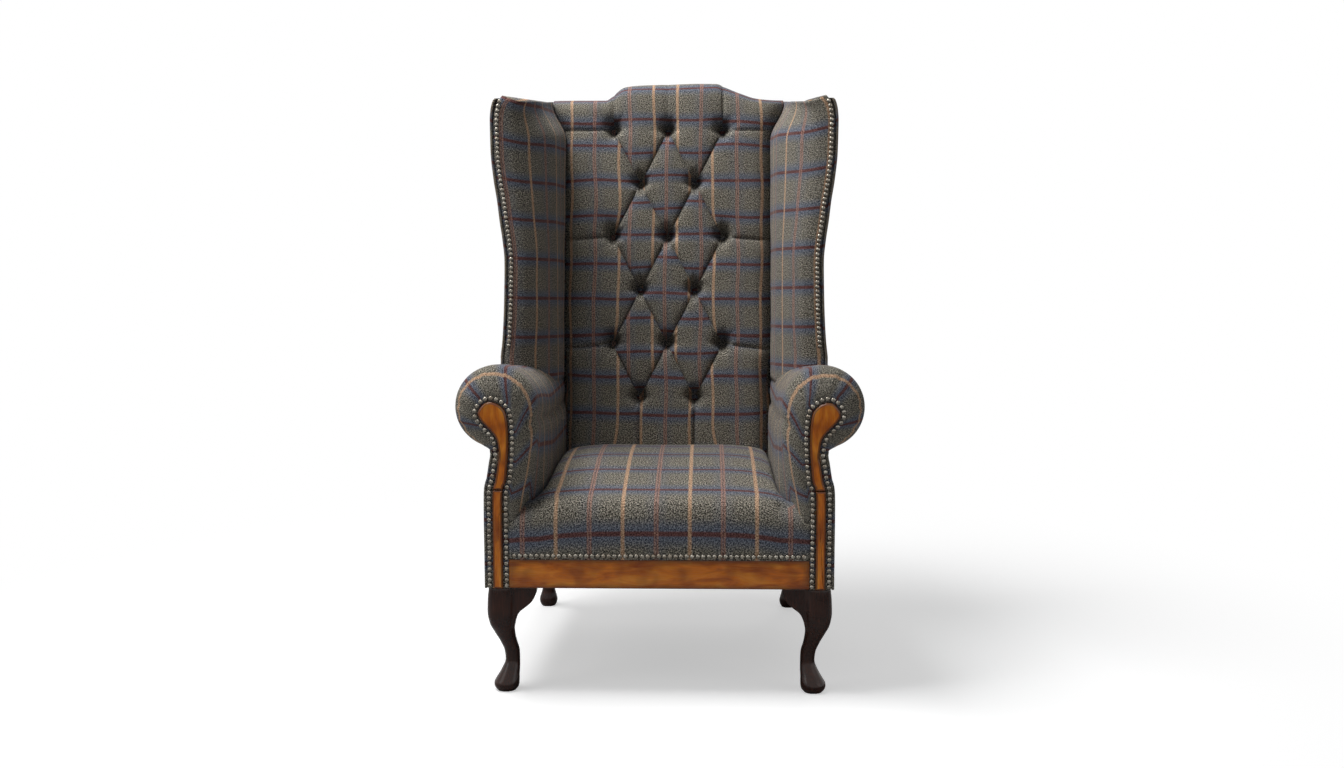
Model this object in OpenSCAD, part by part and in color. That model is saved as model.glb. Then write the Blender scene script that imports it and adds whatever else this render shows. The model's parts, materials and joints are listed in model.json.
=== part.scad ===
// Fireside chair: a tall wing chair with a buttoned back, scroll arms, show-wood
// facings and front rail, close-set nails and cabriole front legs.
// X runs across the chair, Y from front to back, Z up. The origin is on the floor,
// under the middle of the chair. Left and right are as seen from the front.
// A depth is measured back from the front face of the arm facings.

/* [Overall] */
// Width over the arm scrolls
overall_width = 776; // [750:1:800]
// Depth from the facings to the top of the back
overall_depth = 792; // [784:1:820]
// Height to the top of the crest
overall_height = 1215; // [1190:1:1240]
// Depth of the seat frame, from the facings to the back panel
base_depth = 650; // [640:1:665]

/* [Legs] */
// Height of the rails above the floor
leg_h = 208; // [180:1:230]
// Greatest width of a front leg, at its knee
knee_w = 52; // [46:1:56]
// Width of a front leg at its ankle
ankle_w = 28; // [24:1:32]
// Width of a front foot
foot_w = 49; // [42:1:52]
// Reach of the shoulder brackets beside a front leg
ear_w = 45; // [30:1:50]
// Width of a rear leg at the top
rear_leg_w = 44; // [40:1:48]
// Width of a rear foot
rear_foot_w = 42; // [36:1:46]
// How far the rear feet stand behind the tops of their legs
rear_splay = 46; // [30:1:60]

/* [Seat] */
// Height of the show-wood front rail
rail_h = 56; // [48:1:64]
// Height of the hidden side and back rails
side_rail_h = 75; // [66:1:80]
// Thickness of the rails
rail_t = 27; // [22:1:30]
// Height of the seat at the top of its dome
seat_crown_h = 424; // [416:1:430]
// Thickness of an arm, from the seat to the outside of the scroll
arm_t = 161; // [156:1:168]
// Height of the springs above the webbing
spring_h = 106; // [100:1:107]
// Thickness of the spring wire
wire_d = 4; // [3:0.5:5]

/* [Arms] */
// Height of the arms
arm_h = 629; // [615:1:640]
// Diameter of the arm scrolls
roll_d = 156; // [150:1:160]
// How far the padding rounds over behind the facings
roll_in = 42; // [36:1:44]

/* [Facings] */
// Height of the joint between the upper and the lower facing
joint_h = 397; // [390:1:402]
// Width of an upper facing
facing_w = 58; // [54:1:60]
// Height of an upper facing
facing_h = 167; // [160:1:170]
// Width of a lower facing
lower_facing_w = 18; // [16:1:20]
// Thickness of the facings
facing_t = 10; // [9:0.5:12]

/* [Posts] */
// Depth of the front posts
post_t = 45; // [40:1:48]
// How far a front post stands out all round behind its facing
post_margin = 12; // [11:0.5:13]
// Width and depth of the back posts
back_post_w = 45; // [40:1:48]
// Thickness of the wing posts and the wing rails
wing_post_t = 25; // [22:1:28]

/* [Back] */
// Thickness of the back at the seat
back_low_t = 145; // [140:1:152]
// Thickness of the back at the top
back_top_t = 123; // [118:1:128]
// Rise of the crest above the shoulders of the back
crest_rise = 38; // [26:1:44]
// How far the back stands inside the arm scrolls at each side
back_inset = 87; // [84:1:90]
// Space between two columns of buttons
button_col = 62; // [58:1:64]
// Height of the lowest row of buttons
button_low = 507; // [500:1:515]
// How far the highest row of buttons stands below the top of the crest
button_drop = 108; // [98:1:140]
// Depth of the tufting at a button
button_pit = 42; // [36:1:44]
// Diameter of a button
button_d = 16; // [14:1:18]

/* [Wings] */
// How far the wings stand behind the facings
wing_front = 328; // [310:1:340]
// How far the wings stand inside the arm scrolls at each side
wing_inset = 31; // [26:1:36]
// How far the wings stand below the top of the crest, at the front
wing_drop = 57; // [51:1:65]
// Thickness of a wing at its front edge
wing_t = 47; // [44:1:52]

/* [Covers] */
// Thickness of the outside panels, board and cloth together
panel_t = 5; // [4:0.5:6]
// Thickness of hessian and of a webbing strap
web_t = 1; // [0.8:0.1:1.4]
// Width of a webbing strap
strap_w = 40; // [34:1:44]
// Thickness of the padding over the crest rail
crest_pad = 12; // [10:1:16]

/* [Nails] */
// Diameter of a nail head
nail_d = 9.1; // [8.2:0.1:9.3]
// Height of a nail head
nail_h = 3.2; // [2.4:0.1:3.6]
// Space between two nails round the facings and along the rail
nail_pitch = 10.5; // [10.1:0.1:13]
// Space between two nails along the wings
wing_nail_pitch = 9.4; // [9.4:0.1:12]

/* [Fixings] */
// Diameter of the hanger bolts of the legs
bolt_d = 8; // [6:0.5:10]
// Length of a hanger bolt
bolt_len = 80; // [60:1:90]
// Diameter of the rail dowels
dowel_d = 10; // [8:0.5:12]
// Length of a rail dowel
dowel_len = 36; // [30:1:42]
// Size of the corner blocks along each rail
block_len = 60; // [50:1:66]
// Height of the corner blocks
block_h = 40; // [32:1:44]
// Diameter of the corner block screws
screw_d = 5; // [4:0.5:6]

/* [Clearances] */
// Gap between two covered pieces, and between cloth and wood
gap = 0.3; // [0.2:0.05:0.4]
// Gap round a dowel, a bolt or a screw in its hole
fit = 0.1; // [0.05:0.05:0.2]

/* [Hidden] */

$fn = 32;

// Places that several pieces share
front_y = -overall_depth / 2;
half_w = overall_width / 2;
seat_half = half_w - arm_t;
back_half = half_w - back_inset;
wing_half = half_w - wing_inset;
wing_h = overall_height - wing_drop;
rail_top = leg_h + rail_h;
side_top = leg_h + side_rail_h;
overrun = leg_h;

// Cloth lies half the thickness of a facing behind its front
cloth_depth = 0.52 * facing_t;
post_rear = facing_t + post_t;

// The arm scroll
roll_r = roll_d / 2;
roll_x = half_w - roll_r;
roll_z = arm_h - roll_r;
arm_under = roll_z - roll_r + gap;

// The lean of the back
lean = (overall_depth - base_depth) / (overall_height - leg_h);
post_plane = panel_t + back_post_w;
button_rows = 6;
button_top = overall_height - button_drop;
button_row = (button_top - button_low) / (button_rows - 1);
crest_base = button_top + button_d / 2;

function rear_depth(z) = base_depth + (z - leg_h) * lean;
function post_depth(z) = rear_depth(z) - post_plane;
function pad_depth(z) = rear_depth(z) - back_low_t
    + (back_low_t - back_top_t) * (z - seat_crown_h) / (overall_height - seat_crown_h);

// Sums, curves and lofts
function mix(a, b, t) = a + (b - a) * t;
function clamp(v, low, high) = min(max(v, low), high);
function unit(v) = v / norm(v);
function turned(v) = [-v[1], v[0]];

function curve_point(p, i, t) = let(
    last = len(p) - 1, a = p[max(i - 1, 0)], b = p[i], c = p[min(i + 1, last)], d = p[min(i + 2, last)])
    (2 * b + (c - a) * t + (2 * a - 5 * b + 4 * c - d) * t * t + (3 * b - a - 3 * c + d) * t * t * t) / 2;

// A smooth curve through the points of p
function curve(p, steps) = [for (i = [0:len(p) - 2], k = [0:steps - 1]) curve_point(p, i, k / steps),
    p[len(p) - 1]];

// Each point of p moved out by d, to the left of the way along p
function grown(p, d) = let(last = len(p) - 1)
    [for (i = [0:last]) p[i] + d * turned(unit(p[min(i + 1, last)] - p[max(i - 1, 0)]))];

// Lengths along p from its start to each of its points
function lengths(p) = let(steps = [for (i = [0:len(p) - 2]) norm(p[i + 1] - p[i])])
    concat([0], [for (sum = 0, i = 0; i < len(steps); sum = sum + steps[i], i = i + 1) sum + steps[i]]);

function span_at(s, table, i = 0) =
    i >= len(table) - 2 || table[i + 1] > s ? i : span_at(s, table, i + 1);

function point_at(p, table, s) = let(i = span_at(s, table))
    mix(p[i], p[i + 1], (s - table[i]) / (table[i + 1] - table[i]));

// The curve p again, as n points that lie evenly along it
function evenly(p, n) = let(table = lengths(p), total = table[len(table) - 1])
    [for (k = [0:n - 1]) point_at(p, table, total * k / (n - 1))];

function part_of(p, first, last) = [for (i = [first:last]) p[i]];
function reversed(p) = [for (i = [len(p) - 1:-1:0]) p[i]];

function nearest(table, v) = let(off = [for (t = table) abs(t - v)], least = min(off))
    [for (i = [0:len(off) - 1]) if (off[i] == least) i][0];

// Triangles of a cap on a ring whose first n points face the rest
function cap(ring, start, n, flip) = let(
    last = len(ring) - 1, m = len(ring) - n,
    near = lengths(part_of(ring, 0, n - 1)),
    far = lengths([for (i = [0:m - 1]) ring[last - i]]),
    other = [for (s = near) last - nearest(far, far[m - 1] * s / near[n - 1])])
    [for (i = [0:n - 2]) each concat(
        [flip ? [start + i, start + i + 1, start + other[i]] : [start + i + 1, start + i, start + other[i]]],
        [for (j = [other[i]:-1:other[i + 1] + 1])
            flip ? [start + i + 1, start + j - 1, start + j] : [start + j - 1, start + i + 1, start + j]])];

// Six times the volume that these faces enclose: it is negative where they face inwards
function enclosed(points, faces) = let(parts = [for (f = faces)
    cross(points[f[0]], points[f[1]]) * points[f[2]]]) parts * [for (v = parts) 1];

// A closed solid through rings of points, whose first n points face the rest
module loft(rings, n) {
    count = len(rings);
    total = len(rings[0]);
    points = [for (ring = rings) each ring];
    sides = [for (r = [0:count - 2], i = [0:total - 1]) let(
        a = r * total + i, b = r * total + (i + 1) % total, c = a + total, d = b + total)
        each [[a, b, c], [b, d, c]]];
    faces = concat(sides, cap(rings[0], 0, n, false),
        cap(rings[count - 1], (count - 1) * total, n, true));
    polyhedron(points, enclosed(points, faces) < 0 ? faces : [for (f = faces) reversed(f)], 4);
}

// A plate whose outline is seen from the front, from one depth back by t
module front_prism(outline, depth, t) {
    translate([0, front_y + depth + t, 0])
        rotate([90, 0, 0]) linear_extrude(t) polygon(outline);
}

// A beam whose outline is given as depths and heights, from x across by w
module side_prism(outline, x, w) {
    translate([x, front_y, 0]) rotate([90, 0, 90]) linear_extrude(w) polygon(outline);
}

// A plate whose outline is given as widths and depths, from z up by h
module plan_prism(outline, z, h) {
    translate([0, front_y, z]) linear_extrude(h) polygon(outline);
}

// All that lies behind the leaning plane at this distance in front of the back, up to x
module behind(distance, x = overall_width) {
    top = 2 * overall_height;
    side_prism([[rear_depth(0) - distance, 0], [rear_depth(top) - distance, top],
        [2 * overall_depth, top], [2 * overall_depth, 0]], -overall_width, overall_width + x);
}

// A leaning slab between two distances in front of the back
function leaning(z0, z1, near, far) = [[rear_depth(z0) - far, z0], [rear_depth(z0) - near, z0],
    [rear_depth(z1) - near, z1], [rear_depth(z1) - far, z1]];

// Outline of the right facing, from its inner foot over the head to its outer foot
facing_inner_x = roll_x - 0.36 * roll_r;
lower_inner_x = facing_inner_x + 0.24 * facing_w;
lower_outer_x = lower_inner_x + lower_facing_w;
ear_top = joint_h - 0.22 * facing_h;
facing_curve_shares = [[0.21, 0.01], [0.11, 0.096], [0.07, 0.222], [0.034, 0.353], [0.01, 0.491],
    [0.01, 0.617], [0.026, 0.743], [0.08, 0.865], [0.18, 0.928], [0.345, 0.975], [0.56, 1],
    [0.76, 0.985], [0.93, 0.922], [0.99, 0.862], [0.89, 0.79], [0.69, 0.713], [0.5, 0.64],
    [0.38, 0.563], [0.33, 0.46], [0.31, 0.383], [0.36, 0.3], [0.4, 0.21], [0.457, 0.096], [0.53, 0.01]];
curve_steps = 3;
facing_points = concat(
    [[lower_inner_x, leg_h], [lower_inner_x, mix(leg_h, ear_top, 0.5)], [lower_inner_x, ear_top]],
    [for (s = facing_curve_shares) [facing_inner_x + s[0] * facing_w, joint_h + s[1] * facing_h]],
    [[lower_outer_x, ear_top], [lower_outer_x, mix(leg_h, ear_top, 0.5)], [lower_outer_x, leg_h]]);
facing_path = curve(facing_points, curve_steps);

// Places along that outline, as counts of its points
inner_foot_i = 2 * curve_steps;
inner_waist_i = 7 * curve_steps;
outer_waist_i = 21 * curve_steps;
last_i = len(facing_path) - 1;

module facing_plate(margin, depth, t) {
    front_prism(margin == 0 ? facing_path : grown(facing_path, margin), depth, t);
}

// Everything between two heights
module band(z0, z1) {
    translate([-overall_width, -overall_depth, z0]) cube([2 * overall_width, 2 * overall_depth, z1 - z0]);
}

module left() {
    mirror([1, 0, 0]) children();
}

// Fixings
dowel_rise = rail_h / 4;
front_dowel_depth = facing_t + rail_t / 2;
side_dowel_x = lower_outer_x - rail_t / 2;
leg_x = (lower_inner_x + lower_outer_x) / 2;
leg_depth = facing_t + post_t / 2;
back_post_x = back_half - panel_t - back_post_w / 2;
rear_leg_depth = rear_depth(leg_h) - panel_t - back_post_w / 2;
post_inner_x = lower_inner_x - post_margin;
block_z = leg_h + block_h / 8;
side_rail_outer = lower_outer_x + post_margin - 2 * gap;
side_rail_rear = back_half - panel_t - gap;

module dowel_at(x, depth, z, along_x, margin = 0) {
    translate([x, front_y + depth, z]) rotate(along_x ? [0, 90, 0] : [90, 0, 0])
        cylinder(d = dowel_d + 2 * margin, h = dowel_len + 2 * margin, center = true);
}

// The four dowels at the right front post: two from the front rail, two from the side rail
module right_dowels(margin = 0) {
    for (rise = [1, 3]) {
        dowel_at(post_inner_x, front_dowel_depth, leg_h + rise * dowel_rise, true, margin);
        dowel_at(side_dowel_x, post_rear, leg_h + (rise + 0.5) * dowel_rise, false, margin);
    }
}

module bolt_at(x, depth, margin = 0) {
    translate([x, front_y + depth, leg_h - bolt_len / 2 - margin])
        cylinder(d = bolt_d + 2 * margin, h = bolt_len + 2 * margin);
}

// Frame
module front_rail() {
    rail_front = 0.4 * facing_t;
    color("chocolate") difference() {
        translate([-post_inner_x, front_y + rail_front, leg_h])
            cube([2 * post_inner_x, facing_t + rail_t - rail_front, rail_h]);
        right_dowels(fit);
        left() right_dowels(fit);
        screws(fit);
    }
}

module back_rail() {
    half = back_post_x - back_post_w / 2;
    color("burlywood") difference() {
        side_prism(leaning(leg_h, side_top, panel_t + gap, panel_t + rail_t), -half, 2 * half);
        screws(fit);
    }
}

module side_rail_right() {
    color("burlywood") difference() {
        plan_prism([[side_rail_outer - rail_t, post_rear], [side_rail_outer, post_rear],
            [side_rail_rear, base_depth], [side_rail_rear - rail_t, base_depth]], leg_h, side_rail_h);
        behind(post_plane);
        right_dowels(fit);
        screws(fit);
    }
}

module front_post_right() {
    color("burlywood") difference() {
        facing_plate(post_margin, facing_t, post_t);
        right_dowels(fit);
        bolt_at(leg_x, leg_depth, fit);
    }
}

module back_post_right() {
    color("burlywood") difference() {
        side_prism(leaning(leg_h, crest_base, panel_t, post_plane),
            back_post_x - back_post_w / 2, back_post_w);
        bolt_at(back_post_x, rear_leg_depth, fit);
    }
}

// The arm rail runs under the scroll from the front post to the back post
arm_rail_inner = roll_x - 0.59 * roll_r;
arm_rail_front_outer = roll_x - 0.05 * roll_r;
arm_rail_h = 0.26 * roll_d;
arm_rail_top = arm_under + gap;

module arm_rail_right() {
    color("burlywood") difference() {
        plan_prism([[arm_rail_inner, post_rear], [arm_rail_front_outer, post_rear],
            [side_rail_rear, base_depth], [side_rail_rear, overall_depth], [arm_rail_inner, overall_depth]],
            arm_rail_top - arm_rail_h, arm_rail_h);
        behind(post_plane);
    }
}

// Top of the back from left to right: shares of half its width, and of the crest's rise
crest_shares = [[-1, 0], [-0.475, 0.02], [-0.43, 0.23], [-0.38, 0.58], [-0.33, 0.8], [-0.216, 0.9],
    [0, 0.96], [0.24, 1], [0.362, 1], [0.452, 0.72], [0.545, 0.42], [0.674, 0.1], [0.82, 0.01], [1, 0]];
shoulder_h = overall_height - crest_rise;
function crest_height(x) = shoulder_h + crest_rise * lookup(clamp(x / back_half, -1, 1), crest_shares);

function back_outline(half, z0, under) = concat(
    [[-half, z0], [half, z0], [half, shoulder_h - under]],
    [for (c = [len(back_columns) - 2:-1:1]) let(x = column_x(c, back_half)) [x, crest_height(x) - under]],
    [[-half, shoulder_h - under]]);

module crest_rail() {
    color("burlywood") intersection() {
        front_prism(back_outline(back_half - panel_t, crest_base, crest_pad), 0, overall_depth);
        side_prism(leaning(leg_h, overall_height, panel_t, post_plane), -back_half, 2 * back_half);
    }
}

lower_rail_z = side_top + rail_h / 2;

module back_lower_rail() {
    half = back_post_x - back_post_w / 2;
    color("burlywood")
        side_prism(leaning(lower_rail_z, lower_rail_z + rail_h, post_plane - rail_t, post_plane),
            -half, 2 * half);
}

// Outer edge of the right wing: shares of its height above the arm, and of its half width
wing_shares = [[0, 0.955], [0.06, 0.944], [0.216, 0.931], [0.371, 0.926], [0.448, 0.936], [0.524, 0.952],
    [0.6, 0.965], [0.677, 0.983], [0.789, 0.9986], [0.903, 0.997], [0.94, 0.982], [0.976, 0.955], [1, 0.925]];
wing_foot = arm_h - 0.05 * roll_d;
function wing_share(z) = clamp((z - wing_foot) / (wing_h - wing_foot), 0, 1);
function wing_outer(z) = wing_half * lookup(wing_share(z), wing_shares);
function wing_side(z, depth) = mix(wing_outer(z), back_half,
    clamp((depth - wing_front) / (rear_depth(z) - wing_front), 0, 1));
function wing_top(depth) = wing_h + (shoulder_h - wing_h) * 0.7
    * clamp((depth - wing_front) / (pad_depth(wing_h) - wing_front), 0, 1);

wing_post_skin = 1.7 * panel_t;
wing_post_depth = wing_front + 0.26 * wing_t;
wing_post_top = wing_h - 0.7 * wing_t;
wing_rail_z = wing_post_top - wing_post_t;

module wing_post_shape(margin) {
    heights = [for (s = [0:0.1:1]) mix(arm_h, wing_post_top, s)];
    rear = wing_post_depth + wing_post_t;
    foot_x = arm_rail_front_outer - wing_post_t;
    outline = concat(
        [[foot_x - margin, arm_rail_top], [arm_rail_front_outer + margin, arm_rail_top]],
        [for (z = heights) [wing_side(z, rear) - wing_post_skin + margin,
            z + (z == wing_post_top ? margin : 0)]],
        [for (z = reversed(heights)) [wing_side(z, rear) - wing_post_skin - wing_post_t - margin,
            z + (z == wing_post_top ? margin : 0)]]);
    front_prism(outline, wing_post_depth - margin, wing_post_t + 2 * margin);
}

module wing_post_right() {
    color("burlywood") wing_post_shape(0);
}

module wing_top_rail_shape(margin) {
    start = wing_post_depth + wing_post_t;
    outer = wing_side(wing_post_top, start) - wing_post_skin;
    end = post_depth(wing_rail_z);
    outer_end = wing_side(wing_post_top, end) - wing_post_skin;
    difference() {
        plan_prism([[outer - wing_post_t - margin, start], [outer + margin, start],
            [outer_end + margin, end], [outer_end, overall_depth], [outer_end - wing_post_t, overall_depth],
            [outer_end - wing_post_t - margin, end]],
            wing_rail_z - margin, wing_post_t + 2 * margin);
        behind(post_plane);
    }
}

module wing_top_rail_right() {
    color("burlywood") wing_top_rail_shape(0);
}

// Corner blocks sit in the four corners of the seat frame
screw_len = 0.8 * block_len;
screw_back = 0.4 * block_len;
back_block_x = side_rail_rear - rail_t - gap;
back_block_depth = rear_depth(block_z) - panel_t - rail_t - gap;
front_block_x = post_inner_x - gap;
front_block_depth = facing_t + rail_t + gap;

module front_block() {
    plan_prism([[front_block_x, front_block_depth], [front_block_x - block_len, front_block_depth],
        [front_block_x, front_block_depth + block_len]], block_z, block_h);
}

module rear_block() {
    plan_prism([[back_block_x - back_post_w, back_block_depth],
        [back_block_x - back_post_w - block_len, back_block_depth],
        [back_block_x - back_post_w, back_block_depth - block_len]], block_z, block_h);
}

// A countersunk screw lying along Y, with its head towards the seat
module screw(margin) {
    rotate([90, 0, 0]) {
        cylinder(d = screw_d + 2 * margin, h = screw_len, center = true);
        translate([0, 0, -screw_len / 2]) cylinder(d1 = 2 * screw_d + 2 * margin, d2 = screw_d + 2 * margin,
            h = screw_d / 2 + margin);
    }
}

module screws(margin = 0) {
    front_x = front_block_x - screw_back;
    rear_x = back_block_x - back_post_w - screw_back;
    head_depth = block_len - screw_back;
    for (side = [-1, 1]) {
        translate([side * front_x, front_y + front_block_depth + head_depth - screw_len / 2,
            block_z + block_h / 2]) screw(margin);
        translate([side * rear_x, front_y + back_block_depth - head_depth + screw_len / 2,
            block_z + block_h / 2]) rotate([0, 0, 180]) screw(margin);
    }
}

module corner_blocks() {
    color("tan") difference() {
        for (side = [0, 1]) mirror([side, 0, 0]) {
            front_block();
            rear_block();
        }
        screws(fit);
    }
}

module corner_block_screws() {
    color("silver") screws();
}

module rail_dowels() {
    color("wheat") {
        right_dowels();
        left() right_dowels();
    }
}

// Front legs, from the floor up: share of the height, how far the leg leans out as a share
// of the foot, and the shares of foot, ankle and knee that make up its width
leg_shares = [[0, 0, 0.7, 0, 0], [0.03, 0, 0.94, 0, 0], [0.065, 0, 1, 0, 0], [0.125, -0.06, 0.88, 0, 0],
    [0.2, -0.16, 0.3, 0.7, 0], [0.28, -0.22, 0, 1, 0], [0.36, -0.2, 0, 1, 0.02], [0.46, -0.08, 0, 0.85, 0.15],
    [0.55, 0.04, 0, 0.58, 0.42], [0.65, 0.14, 0, 0.2, 0.8], [0.76, 0.165, 0, 0, 1], [0.87, 0.15, 0, 0, 1],
    [1, 0.12, 0, 0, 0.96]];
leg_sides = 20;
foot_x = leg_x - 0.19 * foot_w;
foot_depth = leg_depth + 0.14 * foot_w;

// A rounded square of this half width, squarer as the power grows
function rounded(half, power) = [for (i = [0:leg_sides - 1]) let(
    a = 360 * i / leg_sides, c = cos(a), s = sin(a), r = pow(pow(abs(c), power) + pow(abs(s), power), -1 / power))
    [half * r * c, half * r * s]];

module front_leg_right() {
    rings = [for (s = leg_shares) let(
        half = (foot_w * s[2] + ankle_w * s[3] + knee_w * s[4]) / 2,
        shift = foot_w * s[1], power = mix(2, 2.8, s[0]))
        [for (p = rounded(half, power)) [foot_x + shift + p[0], front_y + foot_depth - shift + p[1],
            leg_h * s[0]]]];
    color("saddlebrown") difference() {
        union() {
            loft(rings, leg_sides / 2);
            leg_ear(false);
            leg_ear(true);
        }
        bolt_at(leg_x, leg_depth, fit);
    }
}

// A shoulder bracket beside the knee, under the front rail or under the side rail
module leg_ear(to_side) {
    knee_inner = leg_x - knee_w / 2;
    ear_t = 0.55 * knee_w;
    root = 0.2 * knee_w;
    ear_drop = 0.31 * leg_h;
    outline = concat([[root, 0]], [for (a = [0:15:90]) [-ear_w * (1 - sin(a)), -ear_drop * (1 - cos(a))]],
        [[root, -ear_drop]]);
    if (to_side) {
        translate([leg_x - ear_t / 2, front_y + leg_depth + knee_w / 2, leg_h]) rotate([90, 0, 90])
            linear_extrude(ear_t) polygon([for (p = outline) [-p[0], p[1]]]);
    } else {
        translate([knee_inner, front_y + leg_depth + ear_t / 2, leg_h]) rotate([90, 0, 0])
            linear_extrude(ear_t) polygon(outline);
    }
}

// The rear legs are raked back and end in small round feet
rear_leg_shares = [[0, 1, 0.36], [0.03, 1, 0.46], [0.075, 1, 0.5], [0.13, 0.97, 0.43], [0.2, 0.92, 0.34],
    [0.3, 0.82, 0.32], [0.45, 0.6, 0.36], [0.65, 0.33, 0.42], [0.85, 0.1, 0.48], [1, 0, 0.5]];

module rear_leg_right() {
    rings = [for (s = rear_leg_shares) let(
        half = s[2] * (s[0] < 0.2 ? rear_foot_w : rear_leg_w), power = mix(2, 5, s[0]))
        [for (p = rounded(half, power)) [back_post_x + 0.2 * rear_splay * s[1] + p[0],
            front_y + rear_leg_depth + rear_splay * s[1] + p[1], leg_h * s[0]]]];
    color("saddlebrown") difference() {
        loft(rings, leg_sides / 2);
        bolt_at(back_post_x, rear_leg_depth, fit);
    }
}

module leg_hanger_bolts() {
    color("silver") for (side = [-1, 1]) {
        bolt_at(side * leg_x, leg_depth);
        bolt_at(side * back_post_x, rear_leg_depth);
    }
}

// Facings
module arm_facing_right() {
    color("peru") intersection() {
        facing_plate(0, 0, facing_t);
        band(joint_h, overall_height);
    }
}

module post_facing_right() {
    color("peru") intersection() {
        facing_plate(0, 0, facing_t);
        band(leg_h, joint_h - gap);
    }
}

// Cloth on the face of a front post, outside its facing and beside the end of the rail
module post_cover_right() {
    color("dimgray") difference() {
        intersection() {
            facing_plate(post_margin, cloth_depth, facing_t - cloth_depth);
            union() {
                intersection() {
                    band(leg_h, facing_path[outer_waist_i][1] - post_margin / 6);
                    translate([facing_path[outer_waist_i][0] - gap, front_y, 0])
                        cube([overall_width, overall_depth, overall_height]);
                }
                translate([0, front_y, leg_h]) cube([leg_x, overall_depth, rail_h]);
            }
        }
        facing_plate(gap, 0, facing_t + overrun);
    }
}

// Seat
web_z = leg_h - gap;
spring_z = web_z + gap;
hessian_z = spring_z + spring_h + gap;
stuffing_z = hessian_z + web_t + gap;
cover_z = mix(rail_top, seat_crown_h, 0.4625);
lip_t = 0.3 * post_t;
seat_front_depth = 0.25 * facing_t;
stuffing_front = seat_front_depth + lip_t + gap;
seat_rear = pad_depth(cover_z) - gap;

long_straps = 5;
cross_straps = 5;

module seat_webbing() {
    first = facing_t + rail_t / 2;
    last = rear_depth(leg_h) - panel_t - rail_t / 2;
    half = side_rail_rear - rail_t / 2;
    color("peru") {
        for (i = [0:long_straps - 1])
            translate([mix(-0.75, 0.75, i / (long_straps - 1)) * seat_half - strap_w / 2, front_y + first,
                web_z - web_t]) cube([strap_w, last - first, web_t]);
        for (i = [0:cross_straps - 1])
            translate([-half, front_y + mix(0.26, 0.8, i / (cross_straps - 1)) * base_depth - strap_w / 2,
                web_z - 2 * web_t - gap]) cube([2 * half, strap_w, web_t]);
    }
}

// The dust cover is cut away at its corners, round the legs
module dust_cover() {
    first = facing_t + rail_t / 2;
    last = rear_depth(leg_h) - panel_t - rail_t / 2;
    half = side_rail_rear - rail_t / 2;
    corner = ear_w + knee_w;
    right_side = [[half - corner, first], [half, first + corner], [half, last - corner],
        [half - corner, last]];
    color("black") plan_prism(concat(right_side, [for (p = reversed(right_side)) [-p[0], p[1]]]),
        web_z - 3 * web_t - 2 * gap, web_t);
}

// Nine waisted springs, each one unbroken coil of square section
spring_turns = 4;
spring_steps = 10;
spring_r = 0.16 * seat_half;
spring_waist = 0.7;

module spring() {
    steps = spring_turns * spring_steps;
    rise = spring_h - wire_d;
    rings = [for (i = [0:steps]) let(
        t = i / steps, a = 360 * spring_turns * t, r = spring_r * mix(1, spring_waist, sin(180 * t)),
        z = wire_d / 2 + rise * t, h = wire_d / 2)
        [[(r - h) * cos(a), (r - h) * sin(a), z - h], [(r + h) * cos(a), (r + h) * sin(a), z - h],
            [(r + h) * cos(a), (r + h) * sin(a), z + h], [(r - h) * cos(a), (r - h) * sin(a), z + h]]];
    loft(rings, 2);
}

module seat_springs() {
    color("silver") for (i = [-1:1], j = [-1:1])
        translate([i * 0.6 * seat_half, front_y + (0.53 + 0.25 * j) * base_depth, spring_z]) spring();
}

module seat_hessian() {
    half = seat_half - 2 * gap;
    color("tan") plan_prism([[-half, stuffing_front + rail_t], [half, stuffing_front + rail_t],
        [half, seat_rear], [-half, seat_rear]], hessian_z, web_t);
}

module seat_stuffing() {
    half = seat_half - 2 * gap;
    roll_rear = stuffing_front + rail_t - gap;
    color("linen") side_prism([[stuffing_front, rail_top + gap], [roll_rear, rail_top + gap],
        [roll_rear, stuffing_z], [seat_rear, stuffing_z], [seat_rear, cover_z - gap],
        [stuffing_front, cover_z - gap]], -half, 2 * half);
}

// Side view of the seat: shares of its depth and of its rise, and how far the sides drop
seat_shares = [[0.0014, 0, 0], [0.0004, 0.13, 0], [0, 0.29, 0], [0.003, 0.44, 0.01], [0.013, 0.56, 0.03],
    [0.033, 0.66, 0.06], [0.067, 0.72, 0.08], [0.11, 0.755, 0.09], [0.19, 0.815, 0.12], [0.28, 0.875, 0.16],
    [0.39, 0.93, 0.19], [0.52, 0.98, 0.22], [0.66, 1, 0.24], [0.81, 0.99, 0.24], [0.94, 0.95, 0.22],
    [1, 0.92, 0.2]];
seat_width_shares = [0, 0.14, 0.28, 0.42, 0.56, 0.68, 0.79, 0.88, 0.95, 1];
seat_corner_row = 7;
seat_rise = seat_crown_h - rail_top - gap;
ear_drop_share = 0.09;
round_share = 0.05;

function seat_z(row, side) = rail_top + gap + seat_rise * (seat_shares[row][1]
    - seat_shares[row][2] * pow(abs(side), 2.6) - (abs(side) == 1 && row > 3 ? round_share : 0));
function seat_depth_at(row, z) = mix(seat_front_depth, pad_depth(z) - gap, seat_shares[row][0]);

function seat_ring(side) = concat(
    [for (row = [0:len(seat_shares) - 1]) let(z = seat_z(row, side))
        [side * seat_half, front_y + seat_depth_at(row, z), z]],
    [for (p = [[seat_rear, cover_z], [stuffing_front - gap, cover_z], [stuffing_front - gap, rail_top + gap]])
        [side * seat_half, front_y + p[0], p[1]]]);

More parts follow.
